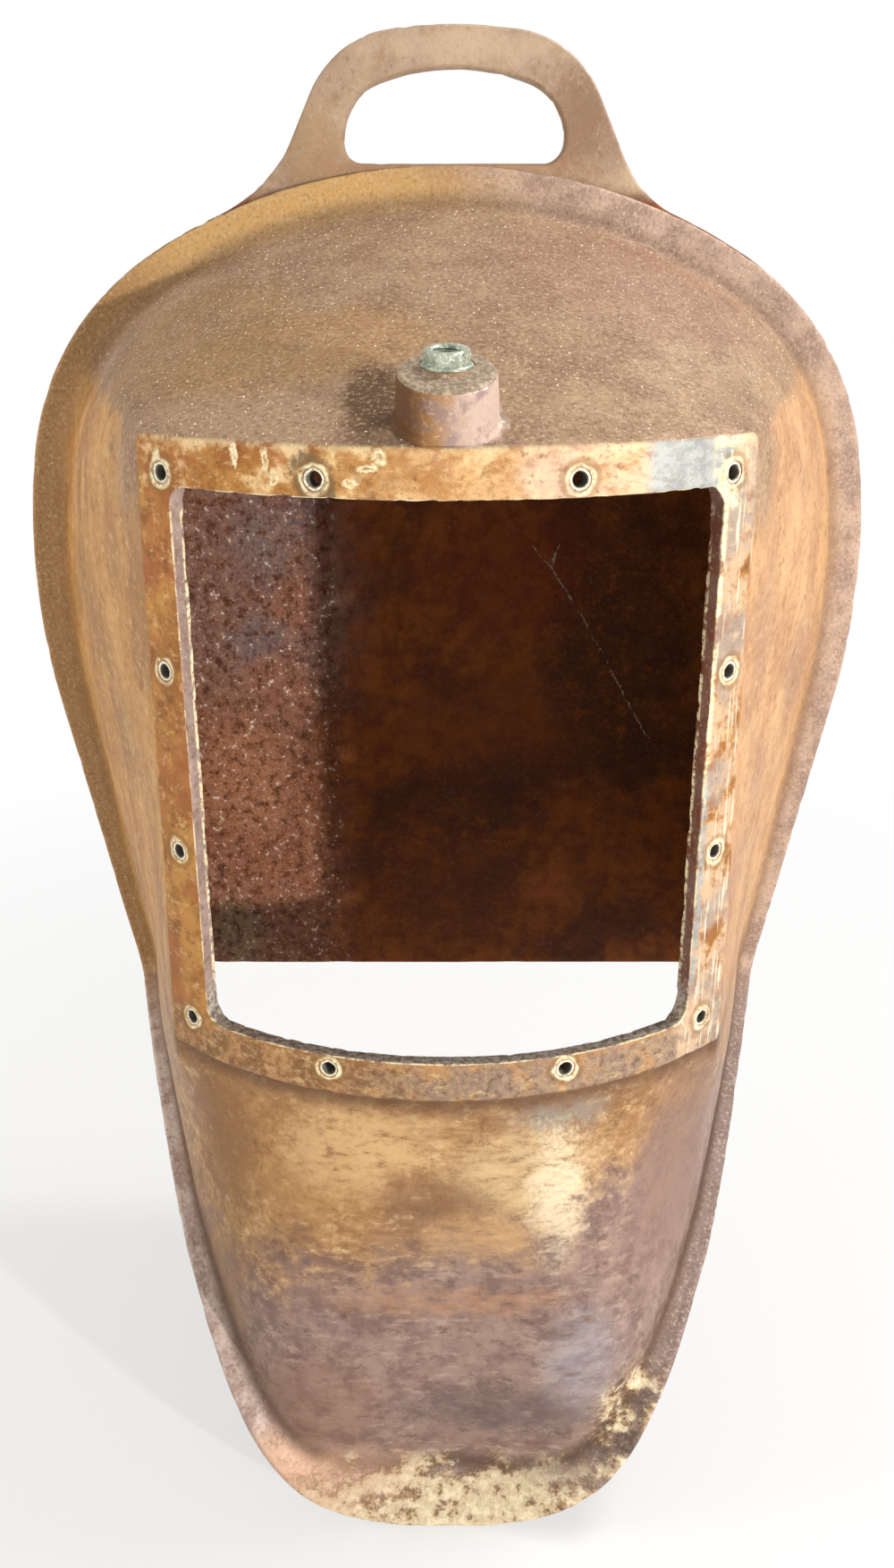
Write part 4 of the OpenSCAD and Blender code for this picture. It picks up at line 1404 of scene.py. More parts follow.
# %% Masks and coats
class Finish(Board):
    """A material, with the place in mm and masks that can be mixed."""

    def __init__(self, name):
        self.material = bpy.data.materials.new(name)
        self.material.use_nodes = True
        super().__init__(self.material.node_tree)
        self.tree.nodes.clear()
        coords = self.node("ShaderNodeTexCoord", output="Object")
        self.place = self.vectors("SCALE", coords)
        self.place.socket.node.inputs["Scale"].default_value = 1 / MM
        parts = self.node("ShaderNodeSeparateXYZ", None, {0: self.place})
        self.x, self.y, self.z = (Wire(self, s) for s in parts.socket.node.outputs)
        self.ragged, self.close = self.warped(9, 9), self.warped(3, 2)
        self.fine = self.noise(1.6, 5, 0.7, shift=17)

    def warped(self, size, amount):
        """The place pushed about by noise, which makes the edge of a patch ragged."""
        push = self.node(
            "ShaderNodeTexNoise",
            None,
            {"Vector": self.place, "Scale": 1 / size, "Detail": 6.0, "Roughness": 0.65},
            output=1,
        )
        push = self.vectors("SUBTRACT", push, (0.5, 0.5, 0.5))
        push = self.vectors("MULTIPLY", push, (2.0 * amount,) * 3)
        return self.vectors("ADD", self.place, push)

    def noise(self, size, detail=2.0, rough=0.5, stretch=None, shift=0.0):
        """Noise from 0 to 1 with clouds of that size in mm, 0.5 in the middle."""
        where = self.place
        if stretch or shift:
            where = self.vectors("MULTIPLY", where, stretch or (1, 1, 1))
            where = self.vectors("ADD", where, (shift, 0.7 * shift, -shift))
        return self.node(
            "ShaderNodeTexNoise",
            None,
            {"Vector": where, "Scale": 1 / size, "Detail": detail, "Roughness": rough},
        )

    def pits(self, size, edge):
        """1 in round pits about that many mm apart, 0 past an edge given as a share of it."""
        cells = self.node(
            "ShaderNodeTexVoronoi", None, {"Vector": self.place, "Scale": 1 / size}
        )
        return self.ramp(cells, edge, 0.05)

    def ramp(self, value, low, high):
        """0 below low, 1 above high, smooth between; low may be above high."""
        return self.node(
            "ShaderNodeMapRange",
            {"interpolation_type": "SMOOTHSTEP"},
            {0: value, 1: low, 2: high, 3: 0.0, 4: 1.0},
        )

    def share(self, name):
        """An attribute of the mesh as a mask."""
        return self.node("ShaderNodeAttribute", {"attribute_name": name}, output="Fac")

    def tint(self, mask, under, over):
        return self.node(
            "ShaderNodeMix", {"data_type": "RGBA"}, {0: mask, 6: under, 7: over}, output=2
        )

    def blend(self, mask, low, high, under, over):
        """Two colours, with a ramp of the mask between them."""
        return self.tint(self.ramp(mask, low, high), paint(under), paint(over))

    def coats(self, colour, *coats):
        """Thin coats over a colour, each as (mask, low, high, strength, colour code)."""
        for mask, low, high, strength, code in coats:
            share = self.ramp(mask, low, high) * strength
            colour = self.tint(share, colour, paint(code))
        return colour

    def patch(self, centre, radii, soft=0.5, fray=0.4, place=None):
        """A ragged patch round a place in mm, frayed by fine noise."""
        away = self.vectors("SUBTRACT", place or self.ragged, centre)
        away = self.vectors("DIVIDE", away, radii)
        away = self.vectors("LENGTH", away, output=1) + (self.fine - 0.5) * fray
        return self.ramp(away, 1 + soft / 2, 1 - soft / 2)

    def patches(self, colour, rows, soft=0.5, fray=0.4, through=1.0):
        """Patches over a colour, each as (centre, radii, colour code, strength)."""
        for centre, radii, code, strength in rows:
            share = self.patch(centre, radii, soft, fray) * through * strength
            colour = self.tint(share, colour, paint(code))
        return colour

    def nearest(self, centres):
        """Distance in mm to the nearest of some places."""
        closest = None
        for centre in centres:
            away = self.vectors("DISTANCE", self.place, centre, output=1)
            closest = away if closest is None else self.maths("MINIMUM", closest, away)
        return closest

    def done(self, colour, roughness, metallic, height, depth, gloss=0.5):
        """Wires everything to the shader. Height is 0 to 1 and depth in mm."""
        shader = self.tree.nodes.new("ShaderNodeBsdfPrincipled")
        self.feed(shader.inputs["Base Color"], colour)
        self.feed(shader.inputs["Roughness"], roughness)
        self.feed(shader.inputs["Metallic"], metallic)
        shader.inputs["Specular IOR Level"].default_value = gloss
        bump = self.node("ShaderNodeBump", None, {"Height": height, "Distance": depth * MM})
        self.feed(shader.inputs["Normal"], bump)
        leave = self.tree.nodes.new("ShaderNodeOutputMaterial")
        self.tree.links.new(shader.outputs[0], leave.inputs["Surface"])
        return self.material


print("finishes can be painted")

# %% [markdown]
# ## Patina of the front casting
# On the real helmet the dome is a dusty grey brown, the walls beside the face are golden to the
# left and orange to the right, the window's frame has been rubbed to yellow and orange with
# cream deposits round its holes, and the apron goes from gold through a pale rubbed spot with a
# painted highlight to a purple brown, with a chalky crust on its lip. Light and shade are
# painted in a few places too: the boss's shadow on the dome and shade on its left, a glint on
# the boss, shade in the groove, under the frame and on the lip's right, and a reflection on the
# apron. Each region has a function of its own, and they share one set of noises and masks. In
# these cells f is the front's finish.


# %% Noises and masks that the regions share
class FrontFinish(Finish):
    """The front casting's material. Its noises go from broad clouds to specks."""

    def __init__(self):
        super().__init__("front patina")
        self.cloud, self.second = self.noise(48, 3), self.noise(26, 5, 0.6, shift=40)
        self.blotch, self.speck = self.noise(11, 5, 0.65), self.noise(2.6, 4, 0.65)
        self.streak = self.noise(22, 7, 0.68, stretch=(1, 0.6, 0.7))
        self.scuffs = self.noise(3.2, 7, 0.72, stretch=(1, 0.4, 1), shift=12)
        self.brushed = self.noise(3.4, 6, 0.7, stretch=(0.35, 1, 1), shift=23)
        self.rubs = self.noise(6, 8, 0.74, stretch=(0.7, 1, 1.1), shift=83)
        self.apron, self.flange = self.share("apron"), self.share("flange")
        self.frame, self.jamb = self.share("frame"), self.share("jamb")
        self.groove, boss = self.share("groove"), self.share("boss")
        top, axis = boss_place.to_translation() / MM, boss_place.to_3x3().col[2].normalized()
        height = (self.y - top.y) * axis.y + (self.z - top.z) * axis.z
        shell_middle = -BOSS_H - WALL_T / 2
        outside = self.ramp(height, shell_middle - 2, shell_middle)
        self.boss = boss * outside
        self.inside = (self.share("inside") + boss * (1 - outside)).clamped()
        self.right = self.ramp(self.x, -25, 25)
        self.column = self.ramp(self.x, 82, 86)
        dusty = self.ramp(self.share("dome") + (self.blotch - 0.5) * 0.9, 0.25, 0.75)
        sag = self.ramp(self.z + (self.second - 0.5) * 60, 238, 268)
        sag = sag * self.ramp(self.y, -128, -148)
        self.dusty = (dusty + sag * (1 - self.apron)).clamped()


f = FrontFinish()
print("shared by the regions:", len(f.tree.nodes), "nodes")


# %% Walls and dome
def wall_colours(f):
    left = f.blend(f.streak, 0.3, 0.7, "a8702f", "cc9a54")
    drips = f.noise(30, 6, 0.62, stretch=(1, 1, 0.35), shift=5)
    left = f.coats(
        left,
        (f.cloud, 0.46, 0.66, 0.5, "a17a44"),
        (drips, 0.5, 0.62, 0.6, "8f5f2a"),
    )
    right = f.blend(f.streak, 0.3, 0.7, "b17f56", "d3a676")
    right = f.coats(right, (f.cloud, 0.46, 0.66, 0.5, "a37a62"))
    return f.coats(
        f.tint(f.right, left, right),
        (f.scuffs, 0.52, 0.66, 0.5, "dcb988"),
        (f.scuffs, 0.46, 0.34, 0.6, "7f5630"),
        (f.blotch, 0.58, 0.72, 0.5, "75502e"),
        (f.fine, 0.58, 0.7, 0.35, "e0c094"),
    )


def dome_colours(f):
    """Dust over brown, golden in front and to the left, dark beside the boss's foot, where a
    painted shadow of the boss, partly a stain, lies to its left.
    """
    dust = f.blend(f.second, 0.35, 0.65, "94745a", "ab8c6e")
    golden = (
        ((-50, -130, 305), (48, 30, 26), "b08554", 0.6),
        ((-92, -90, 305), (40, 60, 34), "9a7444", 0.6),
    )
    dust = f.patches(dust, golden)
    dust = f.patches(dust, [((70, -50, 325), (60, 60, 34), "9a7260", 0.55)], soft=1.2)
    dust = f.coats(dust, (f.blotch, 0.52, 0.68, 0.4, "7d614c"))
    # Painted shadow of the boss on the dome to its left, partly a stain.
    dust = f.patches(dust, [((-23, -172, 294), (9, 26, 14), "553718", 0.85)], soft=0.7)
    dust = f.patches(dust, [((2, -200, 284), (24, 6, 3), "76605a", 0.6)], soft=0.9)
    return f.coats(
        dust,
        (f.fine, 0.53, 0.62, 0.6, "c8ad8c"),
        (f.fine, 0.46, 0.38, 0.6, "654a36"),
    )


colour = f.tint(f.dusty, wall_colours(f), dome_colours(f))
print("with walls and dome:", len(f.tree.nodes), "nodes")

# %% Apron
# Patches of the apron's patina; two of them are partly a painted highlight and one is a painted
# reflection.
APRON_PATCHES_AND_HIGHLIGHTS = (
    ((-58, -188, 22), (38, 30, 26), "b78a55", 0.6),
    ((-86, -168, 24), (14, 24, 34), "8a5f34", 0.75),
    ((-38, -195, 30), (24, 20, 16), "dab483", 0.6),
    ((92, -160, 20), (18, 30, 50), "8a6a58", 0.7),
    ((84, -172, -5), (18, 26, 34), "94766a", 0.7),
    ((42, -194, 44), (17, 12, 6), "8d8880", 0.75),
    # A pale spot of rubbed metal with a painted highlight on it.
    ((30, -197, 22), (28, 16, 18), "d6ba8e", 0.65),
    ((41, -197, 12), (10, 12, 24), "ecdbbc", 0.7),
    ((-20, -198, 38), (26, 14, 12), "d9b27e", 0.5),
    ((-4, -200, 12), (20, 12, 9), "7f5d44", 0.7),
    ((14, -200, -4), (22, 12, 9), "c79f72", 0.6),
    ((0, -200, -33), (44, 14, 6), "b68a6a", 0.55),
    # A painted bluish reflection.
    ((52, -199, -64), (15, 14, 26), "a9a6ae", 0.45),
    ((18, -200, -90), (34, 12, 14), "5e4e50", 0.65),
    ((-84, -165, -40), (12, 24, 30), "8d6a40", 0.6),
    ((-50, -195, -85), (24, 16, 24), "8a6450", 0.5),
)


def apron_colours(f):
    """Tan above and purple brown below, patched, with a painted highlight and reflection, and a
    line of painted shade, partly a stain, under the frame.
    """
    tan = f.coats(
        f.blend(f.blotch, 0.35, 0.65, "926840", "b48c60"),
        (f.brushed, 0.5, 0.66, 0.6, "d4b084"),
        (f.brushed, 0.48, 0.3, 0.5, "7a5638"),
        (f.fine, 0.46, 0.36, 0.45, "6a4a30"),
        (f.second, 0.46, 0.6, 0.5, "8f6c52"),
        (f.rubs, 0.54, 0.64, 0.6, "dcbc90"),
        (f.rubs, 0.46, 0.36, 0.6, "6f4e36"),
    )
    purple = f.coats(
        f.blend(f.blotch, 0.35, 0.65, "7c625a", "9c8276"),
        (f.brushed, 0.5, 0.66, 0.5, "bda594"),
        (f.rubs, 0.46, 0.36, 0.6, "64493f"),
    )
    depth_line = f.z + (f.cloud - 0.5) * 60 + (f.blotch - 0.5) * 60 - f.x * 0.3
    depth_line = depth_line + (f.brushed - 0.5) * 50
    low = f.tint(f.ramp(depth_line, 10, -24), tan, purple)
    low = f.patches(low, APRON_PATCHES_AND_HIGHLIGHTS, 1.0, 1.5, f.ramp(f.brushed, 0.28, 0.54))
    # Painted shade under the frame's lower edge, partly a stain.
    under_frame = f.z + (f.blotch - 0.5) * 5
    shade_line = f.ramp(under_frame, 45, 54) * f.ramp(under_frame, 62, 58)
    low = f.tint(shade_line * 0.75, low, paint("5f4230"))
    return f.coats(low, (f.speck, 0.58, 0.74, 0.3, "5f4434"))


colour = f.tint(f.apron, colour, apron_colours(f))
print("with the apron:", len(f.tree.nodes), "nodes")


# %% Flange, lip and groove
def rim_colours(f):
    """The flange is pinkish, golden to the left; the apron's lip is paler to the left, with
    painted shade on its right.
    """
    flange = f.blend(f.blotch, 0.35, 0.65, "9b8274", "bea390")
    flange = f.tint((1 - f.right) * 0.8, flange, paint("a87d44"))
    golden = [((-70, -7, 350), (85, 20, 28), "d0a76c", 0.85)]
    flange = f.patches(flange, golden, 0.8, 0.8)
    lip = f.blend(f.blotch, 0.4, 0.6, "c8b4aa", "a48c82")
    # Painted shade on the right side of the lip.
    lip = f.tint(f.right * 0.8, lip, paint("77625a"))
    lip = f.patches(lip, [((-62, -203, -118), (30, 20, 18), "d3a98c", 0.7)], soft=0.8)
    return f.coats(
        f.tint(f.apron, flange, lip),
        (f.fine, 0.52, 0.66, 0.6, "d5bda6"),
        (f.fine, 0.46, 0.36, 0.4, "5d4638"),
    )


colour = f.tint(f.flange, colour, rim_colours(f))
# Painted shade in the groove between the flange and the wall, stronger on the apron.
groove_shade = f.groove * f.groove * (f.apron * 0.4 + 0.35)
colour = f.tint(groove_shade, colour, paint("4b3320"))
print("with the rim:", len(f.tree.nodes), "nodes")


# %% Frame of the window
def frame_colours(f):
    """Colours of the frame, and the mask of what is rubbed to bare metal."""
    pad = f.blend(f.blotch, 0.35, 0.62, "9a642f", "c18d4c")
    pad = f.coats(pad, (f.second, 0.45, 0.6, 0.6, "a5623a"))
    upper, lower = f.ramp(f.z, 262, 266), f.ramp(f.z, 78, 66)
    golden = upper * f.ramp(f.x + (f.blotch - 0.5) * 60, -60, 5)
    pad = f.tint(golden * 0.85, pad, f.blend(f.rubs, 0.42, 0.58, "c28e58", "e2b985"))
    pad = f.tint(golden * f.ramp(f.second, 0.46, 0.62) * 0.6, pad, paint("c79f92"))
    pad = f.tint(upper * f.ramp(f.blotch, 0.52, 0.64) * 0.75, pad, paint("f0d3a2"))
    stain = f.ramp(f.noise(8, 6, 0.7, shift=61), 0.54, 0.64)
    pad = f.tint(stain * (0.65 - golden * 0.4), pad, paint("7a4a20"))
    peach = f.ramp(f.x + (f.blotch - 0.5) * 30, 14, 34) * upper
    pad = f.tint(peach * f.ramp(f.brushed, 0.34, 0.56) * 0.7, pad, paint("ecd0b0"))
    bar = f.blend(f.x + (f.second - 0.5) * 60, -40, 10, "8a6440", "96806f")
    bar = f.coats(
        bar,
        (f.blotch, 0.5, 0.6, 0.7, "b8895a"),
        (f.speck, 0.52, 0.6, 0.5, "d2b48e"),
        (f.speck, 0.46, 0.36, 0.6, "5c4230"),
    )
    pad = f.tint(lower * 0.9, pad, bar)
    pad = f.tint(f.column * f.ramp(f.blotch, 0.4, 0.55) * 0.8, pad, paint("d3b397"))
    pad = f.tint(f.column * f.ramp(f.second, 0.46, 0.58) * 0.75, pad, paint("a09489"))
    pad = f.coats(pad, (f.brushed, 0.54, 0.66, 0.5, "e6c38c"))
    top_edge = f.ramp(f.z, 279, 283) * f.ramp(f.blotch, 0.44, 0.5)
    pad = f.tint(top_edge * 0.8, pad, paint("efdcae"))
    pad = f.coats(pad, (f.speck, 0.56, 0.68, 0.55, "7a5430"))
    scratches = f.noise(1.3, 2, 0.5, stretch=(1, 1, 0.07))
    pad = f.tint(f.column * f.ramp(scratches, 0.58, 0.68) * 0.7, pad, paint("efe2c8"))
    bare = f.ramp(f.x + (f.fine - 0.5) * 7, 59, 64)
    bare = bare * f.ramp(f.x + (f.blotch - 0.5) * 14, 93, 88) * upper
    strip = f.ramp(f.x, 91.5, 90) * f.column * f.ramp(f.z, 170, 160) * f.ramp(f.z, 82, 90)
    bare = (bare + strip * f.ramp(f.speck, 0.4, 0.5)).clamped()
    return f.tint(bare, pad, f.blend(f.brushed, 0.4, 0.6, "9a9b98", "b2b3ae")), bare


pad_colour, bare = frame_colours(f)
colour = f.tint(f.frame, colour, pad_colour)
print("with the frame:", len(f.tree.nodes), "nodes")


# %% Window's edge and inside
def jamb_colours(f):
    """Pinkish to the left, brown to the right, and a grey sill."""
    jamb = f.coats(
        f.tint(f.right, paint("b59c92"), paint("84503a")),
        (f.blotch, 0.4, 0.6, 0.6, "94786c"),
        (f.brushed, 0.5, 0.62, 0.6, "7c5f50"),
        (f.fine, 0.56, 0.66, 0.6, "d8c6b4"),
    )
    sill = f.blend(f.fine, 0.4, 0.6, "85766a", "d3c6b6")
    return f.tint(f.ramp(f.z, 90, 78), jamb, sill)


def inside_colours(f):
    """Dark brown, and a paler strip below the sill."""
    dark = f.blend(f.blotch, 0.4, 0.65, "6a3414", "8a4f20")
    below_sill = f.ramp(f.y, -165, -180) * f.ramp(f.z, 100, 80) * f.ramp(f.z, 52, 60)
    return f.tint(below_sill, dark, paint("8d7a6a"))


colour = f.tint(f.jamb, colour, jamb_colours(f))
colour = f.tint(f.inside, colour, inside_colours(f))
print("with the inside:", len(f.tree.nodes), "nodes")


# %% Boss
def boss_colours(f):
    """Pinkish, with painted shade on its left side, a painted glint, a dusty top and pale
    corrosion.
    """
    side = f.coats(
        f.blend(f.x + (f.blotch - 0.5) * 26, -6, 6, "a87c50", "c4aa9c"),
        (f.blotch, 0.46, 0.58, 0.7, "8c7674"),
        (f.fine, 0.54, 0.66, 0.5, "dcc3ae"),
        # Painted shade on the boss's left side.
        (f.x + (f.fine - 0.5) * 8, -3, -12, 0.85, "5c3a1c"),
    )
    # A painted glint on the boss's right front edge.
    side = f.patches(side, [((9, -202, 301), (8, 4, 2.2), "f1e6e2", 1)], 0.6, 1.0)
    near_nut = f.ramp(f.nearest([tuple(inlet.to_translation() / MM)]), 11.5, 10.5)
    on_top = (f.share("up") + near_nut + (f.speck - 0.5) * 0.8).clamped()
    dusty_top = f.blend(f.fine, 0.44, 0.6, "8f7c68", "bfab92")
    whole_boss = f.tint(f.ramp(on_top, 0.35, 0.75), side, dusty_top)
    corrosion = [((19, -190, 290), (5, 9, 7), "cfd6c4", 1)]
    return f.patches(whole_boss, corrosion, 0.8, 1.4, f.ramp(f.fine, 0.5, 0.56))


colour = f.tint(f.boss, colour, boss_colours(f))
print("with the boss:", len(f.tree.nodes), "nodes")

# %% [markdown]
# Cream deposits lie where the clamp frame once sat: rings round the tapped holes, smears
# between them and chips along the window's edge. Below them the lip of the apron has a chalky
# crust, which is why its skin is the roughest.

# %% Deposits round the holes
SMEARS = (
    ((-55, -190, 277), (1.1, 4, 3.6)),
    ((-52.5, -190, 272), (1.3, 4, 3)),
    ((-23.7, -198, 275.5), (3.6, 4, 1.3)),
    ((-20, -199, 279), (2, 4, 2.6)),
    ((-29, -197, 271), (2.4, 4, 1.1)),
    ((-92, -170, 274), (1.4, 4, 4)),
    ((88, -168, 281), (7, 8, 2.6)),
    ((91, -165, 262), (2.5, 6, 4)),
)


def smear_mask(f):
    """Smears that are frayed and partly hollow."""
    smears = f.patch((-64.5, -185, 278), (1.2, 4, 3.6), 0.4, 1.2, f.close)
    for centre, radii in SMEARS:
        core = tuple(0.45 * r for r in radii)
        hollow = 1 - f.patch(centre, core, 0.5, 1.0, f.close) * 0.8
        smears = smears + f.patch(centre, radii, 0.5, 1.4, f.close) * hollow
    return (smears * f.frame).clamped() * f.ramp(f.speck, 0.34, 0.42)


def chip_mask(f):
    """Chips along the window's edge, and the pale edges of its side jambs."""
    edge_chips = f.jamb * f.frame * 4 * f.ramp(f.blotch, 0.46, 0.52) * f.ramp(f.y, -150, -180)
    column_edge = f.ramp(f.x, 90.5, 89) * f.column * f.frame * f.ramp(f.z, 150, 190)
    off_axis = f.y + (FACE_REACH - FACE_R)
    reach = (f.x * f.x + off_axis * off_axis) ** 0.5
    side_jamb = f.jamb * f.ramp(f.z, 80, 90) * f.ramp(f.z, 262, 256)
    deep_edge = side_jamb * f.ramp(reach, 145.6, 144.8) * f.ramp(f.speck, 0.42, 0.48)
    pale_edge = (column_edge + deep_edge) * f.ramp(f.blotch, 0.42, 0.5)
    return (edge_chips + pale_edge).clamped()


hole_centres = [tuple(m.to_translation() / MM) for m in bush_matrices]
to_hole = f.nearest(hole_centres)
ragged_to_hole = to_hole + (f.noise(5, 1, shift=9) - 0.5) * 3 + (f.fine - 0.5) * 1.4
near_hole = f.frame * f.ramp(to_hole, 12, 10)
blob = f.patch(hole_centres[0], (7.5, 9, 8), 0.3, 0.6) * f.frame
colour = f.tint(blob * 0.85, colour, paint("75634a"))
halo = f.ramp(ragged_to_hole, 7.5, 6.2) * near_hole
colour = f.tint(halo * 0.45, colour, paint("86602f"))
ring = f.ramp(ragged_to_hole, 5.4, 4.2) * near_hole
pale = (ring * f.ramp(f.fine, 0.32, 0.44) + smear_mask(f) + chip_mask(f)).clamped()
colour = f.tint(pale, colour, f.blend(f.fine, 0.34, 0.54, "d4b67e", "f8eac4"))
print("with the deposits:", len(f.tree.nodes), "nodes")


# %% Crust on the apron's lip
def crusted(f, colour):
    """The colour with the crust over it, and the crust's mask."""
    toe_line = f.z + (f.blotch - 0.5) * 30 + (f.second - 0.5) * 30 + (f.fine - 0.5) * 10
    toe = f.ramp(toe_line, -112, -132)
    heel = f.patch((74, -192, -102), (16, 22, 24), 0.9, 1.2)
    lumps = f.noise(12, 8, 0.7, stretch=(0.6, 1, 1))
    bottom = f.ramp(f.z + (f.blotch - 0.5) * 16, -122, -136)
    crust = (toe + heel).clamped() * (1 - f.inside) * f.apron
    crust = crust * f.ramp(lumps + bottom * 0.14, 0.44, 0.54)
    clots = f.noise(4.2, 6, 0.72, shift=71)
    chalk = f.coats(
        f.blend(lumps + bottom * 0.1, 0.48, 0.58, "a27f5a", "d8c4a2"),
        (clots, 0.5, 0.6, 0.85, "f2e4c4"),
        (clots, 0.46, 0.38, 0.85, "704e30"),
    )
    colour = f.tint(crust * 0.95, colour, chalk)
    heel_grime = heel * f.ramp(lumps, 0.5, 0.38) * f.apron
    colour = f.tint(heel_grime * 0.7, colour, paint("4a3c2c"))
    pink_toe = [((-50, -200, -124), (34, 24, 12), "c99c80", 0.4)]
    return f.patches(colour, pink_toe, 0.9, 1.2, 1 - f.inside), crust


colour, crust = crusted(f, colour)
print("with the crust:", len(f.tree.nodes), "nodes")

# %% Gloss, metal and grain of the front casting
deposits = pale + crust
rough_skin = (f.dusty + f.inside).clamped()
roughness = 0.52 + (f.blotch - 0.5) * 0.3 + deposits * 0.3 - bare * 0.1
roughness = (roughness + rough_skin * 0.12 - f.apron * 0.06).clamped()
metallic = (0.24 + bare * 0.2 - deposits * 0.24 - rough_skin * 0.1).clamped()
granular = (f.flange + f.inside + f.dusty * 0.3 + 0.2).clamped()
height = (
    f.noise(0.7, 2) * granular * 0.4
    + f.fine * (granular + 0.3)
    + f.speck * 0.6
    + f.pits(3.2, 0.18) * -0.6 * granular
    + crust * (f.speck + 0.6)
    + pale * f.speck * 0.4
)
front_finish = f.done(colour, roughness, metallic, height, depth=0.32, gloss=0.22)
print(front_finish.name, len(f.tree.nodes), "nodes")

# %% [markdown]
# ## Patina of the back casting
# Where it can be seen through the window, the plate is a rough reddish purple that glitters in
# the light, with dark brown and orange stains; where the key lamp lights it, its speckle is
# painted stronger and its glints are painted on. Its handle is smoother and greyer. The rear is
# scuffed, worn along its lower rim and grimy round the screws. In these cells b is its finish.

# %% Patches and a scratch of the back casting
PLATE_PATCHES = (
    ((-92, 0, 190), (46, 9, 70), "98766a", 0.9),
    ((-100, 0, 60), (44, 9, 80), "a87052", 0.9),
    ((-84, 0, 215), (12, 9, 18), "8a8488", 0.45),
    ((-66, 0, 228), (8, 9, 12), "74707c", 0.45),
    ((-70, 0, 186), (10, 9, 12), "b06a42", 0.5),
    ((-88, 0, 168), (12, 9, 10), "857a80", 0.7),
    ((-78, 0, 150), (14, 9, 14), "b4704a", 0.45),
    ((-98, 0, 100), (20, 9, 30), "d09068", 0.6),
    ((30, 0, 130), (50, 9, 26), "824210", 0.6),
    ((4, 0, 40), (40, 9, 30), "5e2c08", 0.6),
    ((-104, 0, 18), (12, 9, 16), "a5926a", 0.8),
    ((49, 0, 44), (14, 9, 8), "b5622a", 0.6),
    ((30, 0, 200), (40, 9, 30), "7c2e0a", 0.6),
    ((80, 0, 160), (30, 9, 60), "341a08", 0.7),
    ((10, 0, 90), (40, 9, 22), "3a1806", 0.6),
)
HANDLE_PATCHES = (
    ((52, 0, 384), (13, 9, 16), "86624a", 0.6),
    ((0, 0, 366), (50, 9, 7), "a5764c", 0.55),
    ((-54, 0, 372), (12, 9, 18), "b08a62", 0.5),
    ((10, 0, 412), (44, 9, 6), "cfb69c", 0.5),
)
SCRATCH = (
    ((38, 213), (47, 203)),
    ((47, 203), (50, 213)),
    ((47, 203), (62, 180)),
    ((62, 180), (95, 121)),
)


def scratch_mask(b):
    """A thin broken line along the scratch's strokes, given as [x, z] in mm."""
    line = None
    for start, end in SCRATCH:
        dx, dz = (float(high - low) for low, high in zip(start, end))
        along = (b.x - start[0]) * dx + (b.z - start[1]) * dz
        along = (along / (dx * dx + dz * dz)).clamped()
        off_x = b.x - start[0] - along * dx + (b.blotch - 0.5) * 9
        off_z = b.z - start[1] - along * dz
        gap = (off_x * off_x + off_z * off_z) ** 0.5
        line = gap if line is None else b.maths("MINIMUM", line, gap)
    return b.ramp(line, 0.45, 0.15) * b.ramp(b.speck, 0.4, 0.48)


print("patches:", len(PLATE_PATCHES) + len(HANDLE_PATCHES), "strokes:", len(SCRATCH))


# %% Regions of the back casting
class BackFinish(Finish):
    """The back casting's material, with scales to the left, where the key lamp lights it; there
    its speckle is painted stronger and glints are painted on.
    """

    def __init__(self):
        super().__init__("back patina")
        self.cloud, self.blotch = self.noise(42, 4), self.noise(10, 5, 0.65)
        self.speck, self.grain = self.noise(2.4, 4, 0.65), self.noise(0.8, 2)
        self.clump = self.noise(5.5, 8, 0.78, shift=31)
        lit_and_scaly = self.ramp(self.x + (self.blotch - 0.5) * 16, -40, -62)
        self.lit_and_scaly = lit_and_scaly * 0.85 + 0.15


def plate_colours(b):
    """What is seen through the window."""
    skin = b.blend(b.blotch, 0.36, 0.64, "753808", "9c5510")
    skin = b.coats(skin, (b.cloud, 0.48, 0.62, 0.7, "4c2106"))
    skin = b.patches(skin, PLATE_PATCHES, 0.9, 1.2, b.ramp(b.clump, 0.36, 0.52))
    # Stronger speckle where the key lamp lights the plate: its grain of scales, with painted
    # light.
    for mask, low, high, strength, code in (
        (b.clump, 0.52, 0.38, 0.75, "553225"),
        (b.clump, 0.52, 0.62, 0.6, "bd8c70"),
        (b.fine, 0.56, 0.64, 0.6, "c8967a"),
        (b.fine, 0.44, 0.36, 0.6, "3a2018"),
        (b.speck, 0.57, 0.64, 0.5, "b0683c"),
    ):
        skin = b.tint(b.ramp(mask, low, high) * b.lit_and_scaly * strength, skin, paint(code))
    # Painted glints where the key lamp lights the plate.
    glitter = b.noise(2.1, 3, 0.55, shift=50)
    painted_glints = b.ramp(b.x, -48, -54) * b.ramp(b.clump + glitter + b.fine, 1.7, 1.77)
    skin = b.tint(painted_glints, skin, paint("f4e2d2"))
    return b.tint(scratch_mask(b), skin, paint("b9a695"))


def handle_colours(b):
    grip = b.coats(
        b.blend(b.cloud, 0.38, 0.62, "a88e78", "bda488"),
        (b.blotch, 0.5, 0.68, 0.6, "9a7858"),
        (b.fine, 0.55, 0.68, 0.45, "cdb8a0"),
        (b.speck, 0.56, 0.7, 0.5, "7a6250"),
    )
    return b.patches(grip, HANDLE_PATCHES, 0.9, 1.2)


